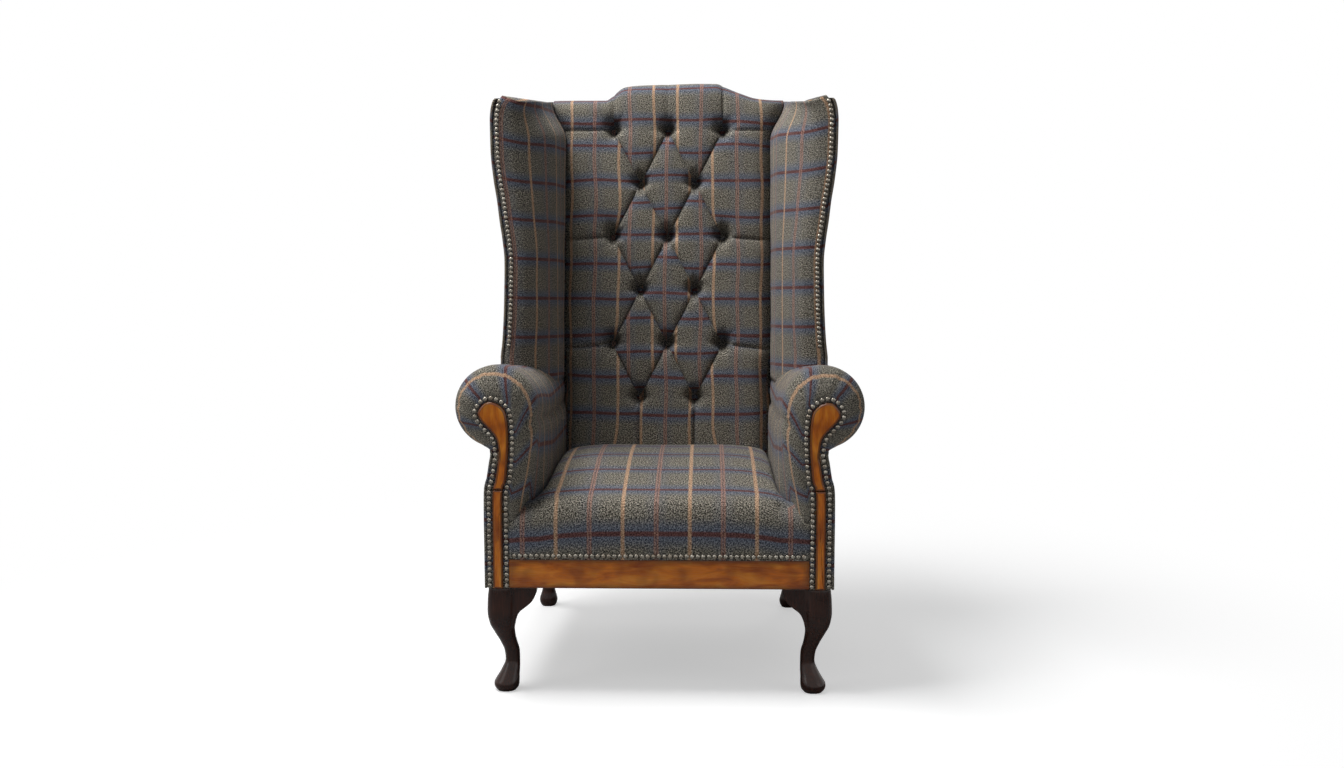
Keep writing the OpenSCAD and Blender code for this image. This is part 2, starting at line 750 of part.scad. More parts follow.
// The seat goes on past the arms in front: a section there, whose face lies between two
// depths and whose back lies at the limit
function seat_ear_ring(side, x, first, deepest, limit, t) = let(
    low = rail_top + gap,
    depth = function(row) max(first, seat_depth_at(row, seat_crown_h)),
    corner_z = seat_z(seat_corner_row, 1) - ear_drop_share * seat_rise * t)
    concat(
        [for (row = [0:seat_corner_row]) [side * x,
            front_y + min(depth(row), mix(first, deepest, row / seat_corner_row)),
            seat_z(row, 1) - ear_drop_share * seat_rise * t * row / seat_corner_row]],
        [for (row = [seat_corner_row + 1:len(seat_shares) - 1]) [side * x, front_y + limit,
            mix(corner_z, low, (row - seat_corner_row) / (len(seat_shares) - seat_corner_row))]],
        [for (share = [0.9, 0.6, 0.3]) [side * x, front_y + mix(depth(0), limit, share), low]]);

module seat_cover() {
    ear_limit = post_rear - 5 * gap;
    lip_limit = facing_t - gap;
    ear_x = post_inner_x - gap;
    lip_x = lower_inner_x - gap;
    lip_face = cloth_depth + gap;
    ear = function(side) [
        seat_ear_ring(side, seat_half + gap, seat_front_depth, ear_limit, ear_limit, 0),
        seat_ear_ring(side, mix(seat_half, ear_x, 0.5), seat_front_depth, ear_limit, ear_limit, 0.4),
        seat_ear_ring(side, ear_x - gap, mix(seat_front_depth, cloth_depth, 0.5), ear_limit, ear_limit, 1),
        seat_ear_ring(side, ear_x, cloth_depth, lip_face, lip_limit, 1),
        seat_ear_ring(side, lip_x, cloth_depth, lip_face, lip_limit, 1.1)];
    rings = concat(reversed(ear(-1)),
        [for (i = [len(seat_width_shares) - 1:-1:1]) seat_ring(-seat_width_shares[i])],
        [for (share = seat_width_shares) seat_ring(share)],
        ear(1));
    color("dimgray") loft(rings, len(seat_shares));
}

// Back
web_front = post_plane + 2 * web_t + gap;
hessian_front = web_front + web_t + gap;
function pad_rear(z) = rear_depth(z) - web_front - gap;
stuffing_front_plane = hessian_front + 0.35 * back_post_w;
cover_plane = stuffing_front_plane + gap;
back_low = seat_crown_h - 1.3 * button_col;
back_inner_top = shoulder_h - 0.6 * back_post_w;

// Odd rows from the top have three buttons, even rows two
buttons = [for (row = [0:button_rows - 1], i = [0:row % 2 == 0 ? 1 : 2])
    [(row % 2 == 0 ? 2 * i - 1 : 2 * i - 2) * button_col, button_low + row * button_row]];

module button_columns(near, far, d, margin = 0) {
    for (b = buttons) translate([b[0], front_y + rear_depth(b[1]) - far, b[1]])
        rotate([-90, 0, 0]) cylinder(d = d + 2 * margin, h = far - near);
}

tie_d = 2;
// Half width of the buttoned cover in front: it widens over the arms, and again at its top
wing_join = seat_half + 0.22 * arm_t;
function back_side(z) = z < button_top
    ? mix(seat_half - gap - panel_t / 2, seat_half + panel_t + gap, clamp((z - roll_z) / roll_r, 0, 1))
    : mix(seat_half + panel_t + gap, wing_join,
        clamp((z - button_top) / (shoulder_h - 0.12 * button_row - button_top), 0, 1));

module back_webbing() {
    half = arm_panel_x - gap;
    color("peru") {
        for (row = [0:button_rows - 1]) let(z = button_low + (row - 0.5) * button_row)
            side_prism(leaning(z - strap_w / 2, z + strap_w / 2, post_plane + gap, post_plane + web_t), -half,
                2 * half);
        for (col = [-1.5, -0.5, 0.5, 1.5])
            side_prism(leaning(lower_rail_z, back_inner_top - gap, post_plane + web_t + gap,
                post_plane + 2 * web_t), col * button_col - 0.4 * strap_w, 0.8 * strap_w);
    }
}

module back_hessian() {
    half = back_side(lower_rail_z) - gap;
    color("tan") difference() {
        side_prism(leaning(back_low, back_inner_top - gap, web_front, web_front + web_t), -half, 2 * half);
        button_columns(0, overall_depth / 2, tie_d, fit);
    }
}

module back_stuffing() {
    half = back_side(lower_rail_z) - gap;
    color("linen") difference() {
        side_prism(leaning(back_low, back_inner_top - gap, hessian_front, stuffing_front_plane),
            -half, 2 * half);
        button_columns(0, overall_depth / 2, tie_d, fit);
    }
}

// Each button's twine, with its toggle behind the hessian
module button_ties() {
    color("ivory") {
        button_columns(post_plane - web_t, cover_plane - gap, tie_d);
        button_columns(post_plane - 3 * web_t, post_plane - web_t, 4 * tie_d);
    }
}

// Depth of the tufting at a point of the back
pit_spread = 0.4 * button_col;
pleat_spread = 0.13 * button_col;
pleat_share = 0.34;
pleats = [for (a = buttons, b = buttons)
    if (abs(abs(a[0] - b[0]) - button_col) < gap && abs(b[1] - a[1] - button_row) < gap) [a, b]];
edge_pleats = [for (b = buttons) if (abs(b[0]) == 2 * button_col) [b, [sign(b[0]) * back_half, b[1]]]];
foot_pleats = [for (b = buttons) if (b[1] == button_low) [b, [b[0], back_low]]];
all_pleats = concat(pleats, edge_pleats, foot_pleats);

function line_distance(p, s) = let(d = s[1] - s[0], t = clamp((p - s[0]) * d / (d * d), 0, 1))
    norm(p - s[0] - t * d);
function tuft(p) = button_pit * max(
    max([for (b = buttons) exp(-pow(norm(p - b) / pit_spread, 1.2))]),
    pleat_share * max([for (s = all_pleats) exp(-pow(line_distance(p, s) / pleat_spread, 2))]));

// Columns of the buttoned cover: thirds of the button space, then shares out to the side
column_thirds = 7;
back_columns = concat([-1, -0.5], [for (i = [-column_thirds:column_thirds]) i], [0.5, 1]);
function column_x(c, half) = let(n = len(back_columns), third = button_col / 3,
    limit = column_thirds * third, side = c < n / 2 ? -1 : 1)
    c > 1 && c < n - 2 ? back_columns[c] * third
        : side * mix(limit, half, abs(back_columns[c]));
function column_edge(c) = c == 0 || c == len(back_columns) - 1 ? 1
    : c == 1 || c == len(back_columns) - 2 ? 0.2 : 0;

row_step = button_row / 6;
cover_rows = concat([for (k = [0:3]) mix(back_low, button_low - row_step, k / 4)],
    [for (k = [-1:button_rows * 6 - 4]) button_low + k * row_step]);
edge_roll = 0.35 * button_pit;
// Over the crest: share of the way back and share of the rise to the top
crest_roll_shares = [[0.03, 0.55], [0.15, 0.88], [0.36, 1]];

function front_point(c, z) = let(x = column_x(c, back_side(z)))
    [x, front_y + pad_depth(z) + tuft([x, z]) + edge_roll * column_edge(c), z];

function crest_point(c, depth, half, share) = let(
    x = column_x(c, half), top = crest_height(x), z0 = cover_rows[len(cover_rows) - 1])
    [x, front_y + depth, mix(z0, top, share)];

function crest_ring(c) = let(
    z0 = cover_rows[len(cover_rows) - 1], near = pad_depth(z0), far = rear_depth(shoulder_h),
    join = post_depth(shoulder_h))
    concat(
        [for (s = crest_roll_shares) crest_point(c, mix(near, far, s[0]), wing_join, s[1])],
        [crest_point(c, join + gap, wing_join, 1), crest_point(c, join + 2 * gap, back_half, 1),
            crest_point(c, mix(join, far, 0.75), back_half, 0.9), crest_point(c, far - gap, back_half, 0.55)]);

function inner_ring(c) = let(
    x = column_x(c, back_half), inner_x = column_x(c, wing_join),
    under = crest_height(x) - crest_pad + gap)
    [[x, front_y + rear_depth(under) - gap, under],
        [x, front_y + post_depth(under) - gap / 2, under],
        [inner_x, front_y + post_depth(back_inner_top) - gap, back_inner_top],
        for (z = [back_inner_top, button_top, arm_h, roll_z, back_low])
            [column_x(c, back_side(z)), front_y + rear_depth(z) - cover_plane, z]];

module back_cover() {
    rings = [for (c = [0:len(back_columns) - 1]) concat(
        [for (z = cover_rows) front_point(c, z)], crest_ring(c), inner_ring(c))];
    color("dimgray") loft(rings, len(cover_rows) + 7);
}

// A covered button with a pointed back, seated in its pit
module button() {
    r = button_d / 2;
    pad_lean = (pad_depth(overall_height) - pad_depth(seat_crown_h)) / (overall_height - seat_crown_h);
    rotate([90 - atan(pad_lean), 0, 0]) rotate_extrude() polygon([[0, 0], [r, 1.6 * r], [0.95 * r, 1.8 * r],
        [0.6 * r, 2.1 * r], [0, 2.2 * r]]);
}

module back_buttons() {
    color("dimgray") for (b = buttons)
        translate([b[0], front_y + pad_depth(b[1]) + button_pit - 0.12 * button_d, b[1]]) button();
}

module outside_back() {
    color("dimgray") intersection() {
        front_prism(back_outline(back_half, leg_h, crest_pad), 0, 2 * overall_depth);
        side_prism(leaning(leg_h, overall_height, 0, panel_t - gap), -back_half, 2 * back_half);
    }
}

// Arms
arm_panel_x = arm_rail_inner - 3 * gap - web_t;
arm_foot = side_top + gap;
arm_corner_z = seat_z(seat_corner_row, 1) + round_share * seat_rise + gap;

module arm_hessian_right() {
    bend_z = mix(arm_foot, arm_rail_top, 0.3);
    rail_x = side_rail_rear - rail_t;
    color("tan") difference() {
        front_prism([[arm_rail_inner - gap - web_t, arm_rail_top], [arm_rail_inner - gap, arm_rail_top],
            [arm_rail_inner - gap, bend_z], [rail_x + web_t, arm_foot], [rail_x, arm_foot],
            [arm_rail_inner - gap - web_t, bend_z]], post_rear + gap, overall_depth);
        behind(post_plane + gap);
    }
}

// Section of the arm, from the foot inside, over the scroll, to its underside
arm_face_n = 6;
arm_roll_n = 16;
seat_gap_x = seat_half + 2 * gap;
function arm_face(foot) = evenly([[seat_gap_x, foot], [seat_gap_x, mix(foot, roll_z, 0.55)],
    [seat_gap_x, roll_z - 0.8 * roll_r], [seat_gap_x + 0.02 * roll_r, roll_z - 0.5 * roll_r],
    roll_point(198)], arm_face_n + 1);
function roll_point(a) = [roll_x + roll_r * cos(a), roll_z + roll_r * sin(a)];
roll_arc = [for (i = [0:arm_roll_n]) roll_point(mix(198, -82, i / arm_roll_n))];
function arm_section(foot) = concat(part_of(arm_face(foot), 0, arm_face_n - 1), roll_arc);

// The same points on the outline that the padding is drawn in to
draw_path = grown(facing_path, post_margin + 0.25 * post_margin);
draw_section = concat(
    part_of(evenly(part_of(draw_path, inner_foot_i, inner_waist_i), arm_face_n + 1), 0, arm_face_n - 1),
    evenly(part_of(draw_path, inner_waist_i, outer_waist_i), arm_roll_n + 1));

// The hidden side of the section: through the post in front, and over the arm rail behind
head_point = [facing_inner_x + 0.62 * facing_w, joint_h + 0.72 * facing_h];
front_back_chain = [facing_path[outer_waist_i] + [0.5 * gap, 0], head_point,
    mix(facing_path[inner_waist_i], facing_path[outer_waist_i + curve_steps], 0.5),
    [lower_inner_x + gap, joint_h + 0.1 * facing_h], [lower_inner_x - gap, ear_top + gap]];
function rear_back_chain(foot) = [[arm_rail_front_outer + gap, arm_under + 2 * gap],
    [mix(arm_panel_x, arm_rail_front_outer, 0.5), arm_under + 2 * gap], [arm_panel_x, arm_under + 2 * gap],
    [arm_panel_x, mix(foot, arm_under, 0.5)], [arm_panel_x, foot]];

function lifted(section, depth) = [for (p = section) [p[0], front_y + depth, p[1]]];

// Beside the back post the scroll runs on to the outside back
module arm_pad_right() {
    blend_steps = 5;
    front_rings = [for (i = [0:blend_steps]) let(
        a = 90 * i / blend_steps, full = arm_section(arm_corner_z),
        section = [for (k = [0:len(full) - 1]) mix(draw_section[k], full[k], sin(a))])
        lifted(concat(section, front_back_chain), cloth_depth + roll_in * (1 - cos(a)))];
    rear_section = concat(arm_section(arm_foot), rear_back_chain(arm_foot));
    rings = concat(front_rings,
        [lifted(concat(arm_section(arm_corner_z), front_back_chain), post_rear - 3 * gap),
            lifted(rear_section, post_rear - gap), lifted(rear_section, 0.45 * base_depth),
            lifted(rear_section, overall_depth)]);
    color("dimgray") difference() {
        loft(rings, arm_face_n + arm_roll_n + 1);
        facing_plate(gap, -overrun, facing_t + overrun + gap);
        facing_plate(post_margin + gap, facing_t - gap, post_t + 2 * gap);
        wing_post_shape(gap);
        behind(web_front + gap, side_rail_rear + 2 * gap);
        behind(panel_t + gap);
    }
}

// Outside panels
side_n = 12;
module outside_arm_right() {
    path = part_of(facing_path, outer_waist_i, last_i);
    outer = evenly(grown(path, post_margin + 2 * gap + panel_t), side_n);
    inner = evenly(grown(path, post_margin + 2 * gap), side_n);
    foot = function(p, last) [p[0], last ? leg_h : p[1]];
    front = concat([for (i = [0:side_n - 1]) foot(outer[i], i == side_n - 1)],
        [for (i = [side_n - 1:-1:0]) foot(inner[i], i == side_n - 1)]);
    rear = [for (i = [0:2 * side_n - 1]) let(z = front[i][1])
        [i < side_n ? back_half : back_half - panel_t + gap, front_y + rear_depth(z) - panel_t, z]];
    color("dimgray") loft([lifted(front, cloth_depth), lifted(front, post_rear), rear], side_n);
}

wing_level_shares = [0, 0.16, 0.28, 0.4, 0.5, 0.6, 0.72, 0.84, 0.9, 0.94, 0.97, 0.987, 1];

function wing_z(depth, level) = mix(roll_z + gap, wing_top(depth), level);

// What the wings leave free for the arm scroll
module scroll_room() {
    translate([roll_x, 0, roll_z]) rotate([90, 0, 0])
        cylinder(r = roll_r + gap, h = 2 * overall_depth, center = true);
}

// A point on the outside of a wing, this far in from the outer cloth
function wing_side_point(depth, level, inset) = let(z = wing_z(depth, level))
    [wing_side(z, depth) - inset, front_y + depth, z];

module outside_wing_right() {
    panel_point = function(share, level, inset) let(
        top = shoulder_h - crest_pad,
        far = rear_depth(min(wing_z(overall_depth, level), top)) - panel_t,
        p = wing_side_point(mix(wing_front + gap, far, share), level, inset))
        [p[0], p[1], min(p[2], wing_top(p[1] - front_y) - panel_t, top)];
    rings = [for (level = wing_level_shares) concat(
        [for (share = [0, 0.3, 0.6, 1]) panel_point(share, level, 0)],
        [for (share = [1, 0.6, 0.3, 0]) panel_point(share, level, panel_t - gap)])];
    color("dimgray") difference() {
        loft(rings, 4);
        scroll_room();
    }
}

// Plan of a wing pad in front: shares of its thickness in from the outside, and back
wing_edge_shares = [[0, 0.1], [0.1, 0.02], [0.32, -0.04], [0.6, 0.02], [0.84, 0.24], [0.98, 0.68],
    [1.04, 1.4]];
wing_round_share = 0.14;

function wing_ring(level) = let(
    z = wing_z(wing_front, level), rear_z = wing_z(overall_depth, level), rear = pad_rear(rear_z),
    round = level > 0.9 ? wing_round_share * (level - 0.9) / 0.1 : 0,
    outer = wing_outer(z) - panel_t - 3 * gap,
    join_x = max(seat_half + panel_t, back_side(rear_z)) + 2 * gap,
    join_depth = pad_depth(rear_z) + edge_roll,
    last = wing_edge_shares[len(wing_edge_shares) - 1],
    start = [outer - last[0] * wing_t, wing_front + last[1] * wing_t],
    front = concat(
        [for (s = wing_edge_shares) [outer - mix(s[0], 0.5, 2 * round) * wing_t,
            wing_front + (s[1] + round) * wing_t]],
        [for (t = [0.35, 0.7, 1]) [mix(start[0], join_x, t), mix(start[1], join_depth, t)]]))
    concat(
        [for (p = front) [p[0], front_y + p[1], wing_z(p[1], level)]],
        [[join_x + panel_t, front_y + rear, rear_z]],
        [for (share = [1, 0.6, 0.3]) wing_side_point(mix(wing_front, rear, share), level, panel_t + 4 * gap)]);

module wing_pad_right() {
    color("dimgray") difference() {
        loft([for (level = wing_level_shares) wing_ring(level)], len(wing_edge_shares) + 4);
        wing_post_shape(gap);
        wing_top_rail_shape(gap);
        scroll_room();
    }
}

// Nail heads that sit on one plane, at these points of the front view
module nails_at(points, depth) {
    ball = (pow(nail_d / 2, 2) + pow(nail_h, 2)) / (2 * nail_h);
    color("lightgray") difference() {
        for (p = points) translate([p[0], front_y + depth + ball - nail_h, p[1]]) sphere(ball, $fn = 16);
        translate([-overall_width, front_y + depth, 0]) cube([2 * overall_width, overall_depth, overall_height]);
    }
}

// Points this far apart along a path, half a space in from its ends
function spaced(path, pitch) = let(table = lengths(path), total = table[len(table) - 1],
    count = floor(total / pitch))
    [for (k = [0:count - 1]) point_at(path, table, total * (k + 0.5) / count)];

nail_margin = 0.56 * post_margin;

module facing_nails_right() {
    nails_at(spaced(grown(facing_path, nail_margin), nail_pitch), cloth_depth - gap / 2);
}

module wing_nails_right() {
    nail_in = panel_t + 0.2 * wing_t;
    path = curve([for (k = [0:10]) let(z = mix(arm_h + nail_d, wing_h - nail_d, k / 10))
        [wing_outer(z) - nail_in, z]], 2);
    nails_at(spaced(path, wing_nail_pitch), wing_front - 0.04 * wing_t - gap);
}

module front_rail_nails() {
    half = lower_inner_x - nail_margin - nail_pitch;
    z = rail_top + gap + 0.75 * nail_d;
    nails_at(spaced([[-half, z], [half, z]], nail_pitch), seat_front_depth);
}

front_rail();
back_rail();
left() side_rail_right();  // side_rail_left
side_rail_right();
left() front_post_right();  // front_post_left
front_post_right();
left() back_post_right();  // back_post_left
back_post_right();
left() arm_rail_right();  // arm_rail_left
arm_rail_right();
crest_rail();
back_lower_rail();
left() wing_post_right();  // wing_post_left
wing_post_right();
left() wing_top_rail_right();  // wing_top_rail_left
wing_top_rail_right();
corner_blocks();
corner_block_screws();
rail_dowels();
left() front_leg_right();  // front_leg_left
front_leg_right();
left() rear_leg_right();  // rear_leg_left
rear_leg_right();
leg_hanger_bolts();
left() arm_facing_right();  // arm_facing_left
arm_facing_right();
left() post_facing_right();  // post_facing_left
post_facing_right();
left() post_cover_right();  // post_cover_left
post_cover_right();
seat_webbing();
seat_springs();
seat_hessian();
seat_stuffing();
seat_cover();
dust_cover();
back_webbing();
back_hessian();
back_stuffing();
back_cover();
back_buttons();
button_ties();
outside_back();
left() arm_hessian_right();  // arm_hessian_left
arm_hessian_right();
left() arm_pad_right();  // arm_pad_left
arm_pad_right();
left() outside_arm_right();  // outside_arm_left
outside_arm_right();
left() wing_pad_right();  // wing_pad_left
wing_pad_right();
left() outside_wing_right();  // outside_wing_left
outside_wing_right();
left() facing_nails_right();  // facing_nails_left
facing_nails_right();
left() wing_nails_right();  // wing_nails_left
wing_nails_right();
front_rail_nails();
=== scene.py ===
import json
import math
import bpy
import numpy as np
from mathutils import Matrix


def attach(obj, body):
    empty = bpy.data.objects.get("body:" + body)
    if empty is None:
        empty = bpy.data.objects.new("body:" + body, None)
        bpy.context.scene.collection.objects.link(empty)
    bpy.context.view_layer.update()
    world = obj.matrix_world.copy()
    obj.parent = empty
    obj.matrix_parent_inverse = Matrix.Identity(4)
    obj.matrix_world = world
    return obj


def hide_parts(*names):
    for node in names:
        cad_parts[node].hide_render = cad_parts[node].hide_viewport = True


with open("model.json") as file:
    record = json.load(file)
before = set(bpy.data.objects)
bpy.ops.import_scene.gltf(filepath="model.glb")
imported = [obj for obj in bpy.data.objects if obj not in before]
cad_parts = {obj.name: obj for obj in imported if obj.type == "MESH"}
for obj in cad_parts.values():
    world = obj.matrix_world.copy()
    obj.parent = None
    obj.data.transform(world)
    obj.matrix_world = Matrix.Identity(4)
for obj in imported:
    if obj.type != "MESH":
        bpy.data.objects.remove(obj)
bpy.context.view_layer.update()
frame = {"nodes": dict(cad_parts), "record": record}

# Sizes in millimetres, as in the part's source
FRONT_Y = -396.0
LEG_H = 208.0
KNEE_W, ANKLE_W, FOOT_W = 52.0, 28.0, 49.0
REAR_LEG_W, REAR_FOOT_W, REAR_SPLAY = 44.0, 42.0, 46.0
RAIL_H = 56.0
SEAT_HALF, BACK_HALF, WING_HALF = 227.0, 301.0, 357.0
ROLL_X, ROLL_Z, ROLL_R = 310.0, 551.0, 78.0
JOINT_H, FACING_W, FACING_H = 397.0, 58.0, 167.0
FACING_X, LOWER_X, LOWER_W = 281.92, 295.84, 18.0
EAR_TOP = JOINT_H - 0.22 * FACING_H
SEAT_TOP, SEAT_LOW = 424.0, 264.3
CLOTH_DEPTH, FACING_T, POST_REAR, POST_COVER_W = 5.2, 10.0, 55.0, 12.0
WING_FRONT, WING_TOP, WING_FOOT = 328.0, 1158.0, 621.2
SHOULDER, CREST_RISE = 1177.0, 38.0
BUTTON_LOW, BUTTON_ROW, BUTTON_COL, PIT = 507.0, 120.0, 62.0, 42.0
BACK_LOW, PAD_T, PAD_TAPER = 343.4, 145.0, 22.0
PANEL_T, CHAIR_DEPTH = 5.0, 792.0
CREST_TOP = SHOULDER + CREST_RISE
BACK_FOOT, LEAN = 650.0, 142.0 / (CREST_TOP - LEG_H)


def rear_depth(z):
    """How deep the raked rear face of the chair lies"""
    return BACK_FOOT + (z - LEG_H) * LEAN


def pad_depth(z):
    """How deep the crown of the buttoned back lies"""
    return rear_depth(z) - PAD_T + PAD_TAPER * (z - SEAT_TOP) / (CREST_TOP - SEAT_TOP)


def pad_rear(z):
    """How far back the arms and wings reach"""
    return rear_depth(z) - 52.6


def mix(a, b, t):
    return a + (b - a) * t


def unit(v):
    return np.clip(v, 0, 1)


def bell(v, centre, width):
    return np.exp(-((v - centre) / width) ** 2)


def smooth(xs, ys, at):
    """A monotone cubic through the points of a table"""
    xs, ys, at = np.asarray(xs, float), np.asarray(ys, float), np.asarray(at, float)
    h = np.diff(xs)
    d = np.diff(ys) / h
    m = np.zeros_like(ys)
    for i in range(1, len(xs) - 1):
        if d[i - 1] * d[i] > 0:
            a, b = 2 * h[i] + h[i - 1], h[i] + 2 * h[i - 1]
            m[i] = (a + b) / (a / d[i - 1] + b / d[i])
    m[0], m[-1] = d[0], d[-1]
    at = np.clip(at, xs[0], xs[-1])
    i = np.clip(np.searchsorted(xs, at, side="right") - 1, 0, len(h) - 1)
    t = (at - xs[i]) / h[i]
    return ((2 * t ** 3 - 3 * t ** 2 + 1) * ys[i] + (t ** 3 - 2 * t ** 2 + t) * h[i] * m[i]
            + (3 * t ** 2 - 2 * t ** 3) * ys[i + 1] + (t ** 3 - t ** 2) * h[i] * m[i + 1])


def read_off(table, at):
    """Smooth columns of a table, read off at places in its first column"""
    return [smooth(table[:, 0], column, at) for column in table.T[1:]]


def spline(knots, steps):
    """A Catmull-Rom curve through its knots"""
    p = np.asarray(knots, float)
    out = []
    for i in range(len(p) - 1):
        a, b, c, d = p[max(i - 1, 0)], p[i], p[i + 1], p[min(i + 2, len(p) - 1)]
        for k in range(steps):
            t = k / steps
            out.append((2 * b + (c - a) * t + (2 * a - 5 * b + 4 * c - d) * t * t
                        + (3 * b - a - 3 * c + d) * t ** 3) / 2)
    out.append(p[-1])
    return np.array(out)


def along(path):
    """Lengths from the start of a path to each of its points"""
    step = np.linalg.norm(np.diff(path, axis=0), axis=1)
    return np.concatenate([[0], np.cumsum(step)])


def points_at(path, at):
    """Points of a path at lengths from its start"""
    s = along(path)
    return np.stack([np.interp(at, s, path[:, k]) for k in range(path.shape[1])], 1)


def evenly(path, n):
    """A path as n evenly spaced points"""
    path = np.asarray(path, float)
    return points_at(path, np.linspace(0, along(path)[-1], n))


def left_of(way):
    """Unit steps to the left of flat directions"""
    way = way / np.linalg.norm(way, axis=1)[:, None]
    return np.stack([-way[:, 1], way[:, 0]], 1)


def grown(path, d):
    """A flat path moved out to the left of its way"""
    p = np.asarray(path, float)
    t = np.empty_like(p)
    t[1:-1] = p[2:] - p[:-2]
    t[0], t[-1] = p[1] - p[0], p[-1] - p[-2]
    return p + d * left_of(t)


def points(x, depth, z):
    """Points from widths, depths and heights, each many or just one"""
    return np.stack(np.broadcast_arrays(x, FRONT_Y + np.asarray(depth, float), z), 1)


def at_depth(path, depth):
    """Points of the front view at one depth"""
    return points(path[:, 0], depth, path[:, 1])


def hashed(i, salt=0.0):
    """A repeatable number from 0 to 1"""
    v = np.sin(np.asarray(i, float) * 12.9898 + salt * 78.233) * 43758.5453
    return v - np.floor(v)


def waves(x, y, seed, count=7, size=60.0):
    """Gentle uneven waves over a surface, about from -1 to 1"""
    out = 0.0
    for k in range(count):
        a = 2 * math.pi * hashed(k, seed)
        f = (0.6 + 1.6 * hashed(k, seed + 1.7)) * 2 * math.pi / size
        out = out + np.sin(f * (x * np.cos(a) + y * np.sin(a)) + 6.28 * hashed(k, seed + 3.1))
    return out / count * 1.6


# Materials. Colours are sRGB, from 0 to 255

def srgb(colour):
    share = [v / 255.0 for v in colour]
    return [v / 12.92 if v <= 0.04045 else ((v + 0.055) / 1.055) ** 2.4 for v in share] + [1.0]


class Nodes:
    """A node tree, built one node at a time"""

    def __init__(self, tree):
        self.tree = tree
        tree.nodes.clear()

    def add(self, kind, **props):
        item = self.tree.nodes.new(kind)
        for key, value in props.items():
            setattr(item, key, value)
        return item

    def link(self, a, b):
        self.tree.links.new(a, b)

    def put(self, socket, value):
        if isinstance(value, bpy.types.NodeSocket):
            self.link(value, socket)
        else:
            socket.default_value = srgb(value) if isinstance(value, tuple) else value

    def filled(self, item, *values):
        for socket, value in zip(item.inputs, values):
            self.put(socket, value)
        return item.outputs[0]

    def math(self, op, a, b=0.0, c=0.0, clamp=False):
        return self.filled(self.add("ShaderNodeMath", operation=op, use_clamp=clamp), a, b, c)

    def times(self, a, b):
        return self.math("MULTIPLY", a, b)

    def span(self, value, low, high, start=0.0, end=1.0):
        item = self.add("ShaderNodeMapRange", interpolation_type="SMOOTHSTEP")
        return self.filled(item, value, low, high, start, end)

    def mix_shader(self, factor, a, b):
        return self.filled(self.add("ShaderNodeMixShader"), factor, a, b)

    def glow(self, kind, strength, colour=(255, 255, 255)):
        return self.filled(self.add(kind), colour, strength)


class Graph(Nodes):
    """A node material"""

    def __init__(self, name, **sockets):
        self.mat = bpy.data.materials.new(name)
        self.mat.use_nodes = True
        super().__init__(self.mat.node_tree)
        self.out = self.add("ShaderNodeOutputMaterial")
        self.bsdf = self.add("ShaderNodeBsdfPrincipled")
        self.link(self.bsdf.outputs[0], self.out.inputs[0])
        for key, value in sockets.items():
            self.bsdf.inputs[key.replace("_", " ")].default_value = value

    def mix(self, factor, a, b):
        item = self.add("ShaderNodeMix", data_type="RGBA")
        for socket, value in ((0, factor), (6, a), (7, b)):
            self.put(item.inputs[socket], value)
        return item.outputs[2]

    def place(self):
        return self.add("ShaderNodeTexCoord").outputs["Object"]

    def uv(self, name):
        return self.add("ShaderNodeUVMap", uv_map=name).outputs[0]

    def split(self, vector):
        item = self.add("ShaderNodeSeparateXYZ")
        self.link(vector, item.inputs[0])
        return item.outputs

    def noise(self, vector, scale, detail, rough, distortion=0.0, stretch=None):
        if stretch:
            wide = self.add("ShaderNodeVectorMath", operation="MULTIPLY")
            self.link(vector, wide.inputs[0])
            wide.inputs[1].default_value = stretch
            vector = wide.outputs[0]
        item = self.add("ShaderNodeTexNoise")
        for key, value in (("Vector", vector), ("Scale", scale), ("Detail", detail), ("Roughness", rough),
                           ("Distortion", distortion)):
            self.put(item.inputs[key], value)
        return item.outputs["Fac"]

    def ramp(self, value, stops):
        item = self.add("ShaderNodeValToRGB")
        self.put(item.inputs[0], value)
        ramp = item.color_ramp
        for element, stop in zip(ramp.elements, (stops[0], stops[-1])):
            element.position, element.color = stop[0], srgb(stop[1])
        for place, colour in stops[1:-1]:
            ramp.elements.new(place).color = srgb(colour)
        return item.outputs[0]

    def stripe(self, value, period, centre, half, soft):
        """1 inside evenly spaced stripes, 0 between them"""
        shifted = self.math("SUBTRACT", value, centre)
        near = self.math("ABSOLUTE", self.math("WRAP", shifted, period / 2, -period / 2))
        return self.span(near, half - soft, half + soft, 1.0, 0.0)

    def shaken(self, value, noise, reach):
        """A value moved to and fro by a noise"""
        return self.math("ADD", value, self.times(self.math("SUBTRACT", noise, 0.5), reach))

    def finish(self, colour, rough=None, height=None, distance=0.0, strength=0.0):
        """Link the colour, the roughness and the bump"""
        self.link(colour, self.bsdf.inputs["Base Color"])
        if rough:
            self.link(rough, self.bsdf.inputs["Roughness"])
        if height:
            item = self.add("ShaderNodeBump")
            for key, value in (("Strength", strength), ("Distance", distance), ("Height", height)):
                self.put(item.inputs[key], value)
            self.link(item.outputs[0], self.bsdf.inputs["Normal"])
        return self.mat


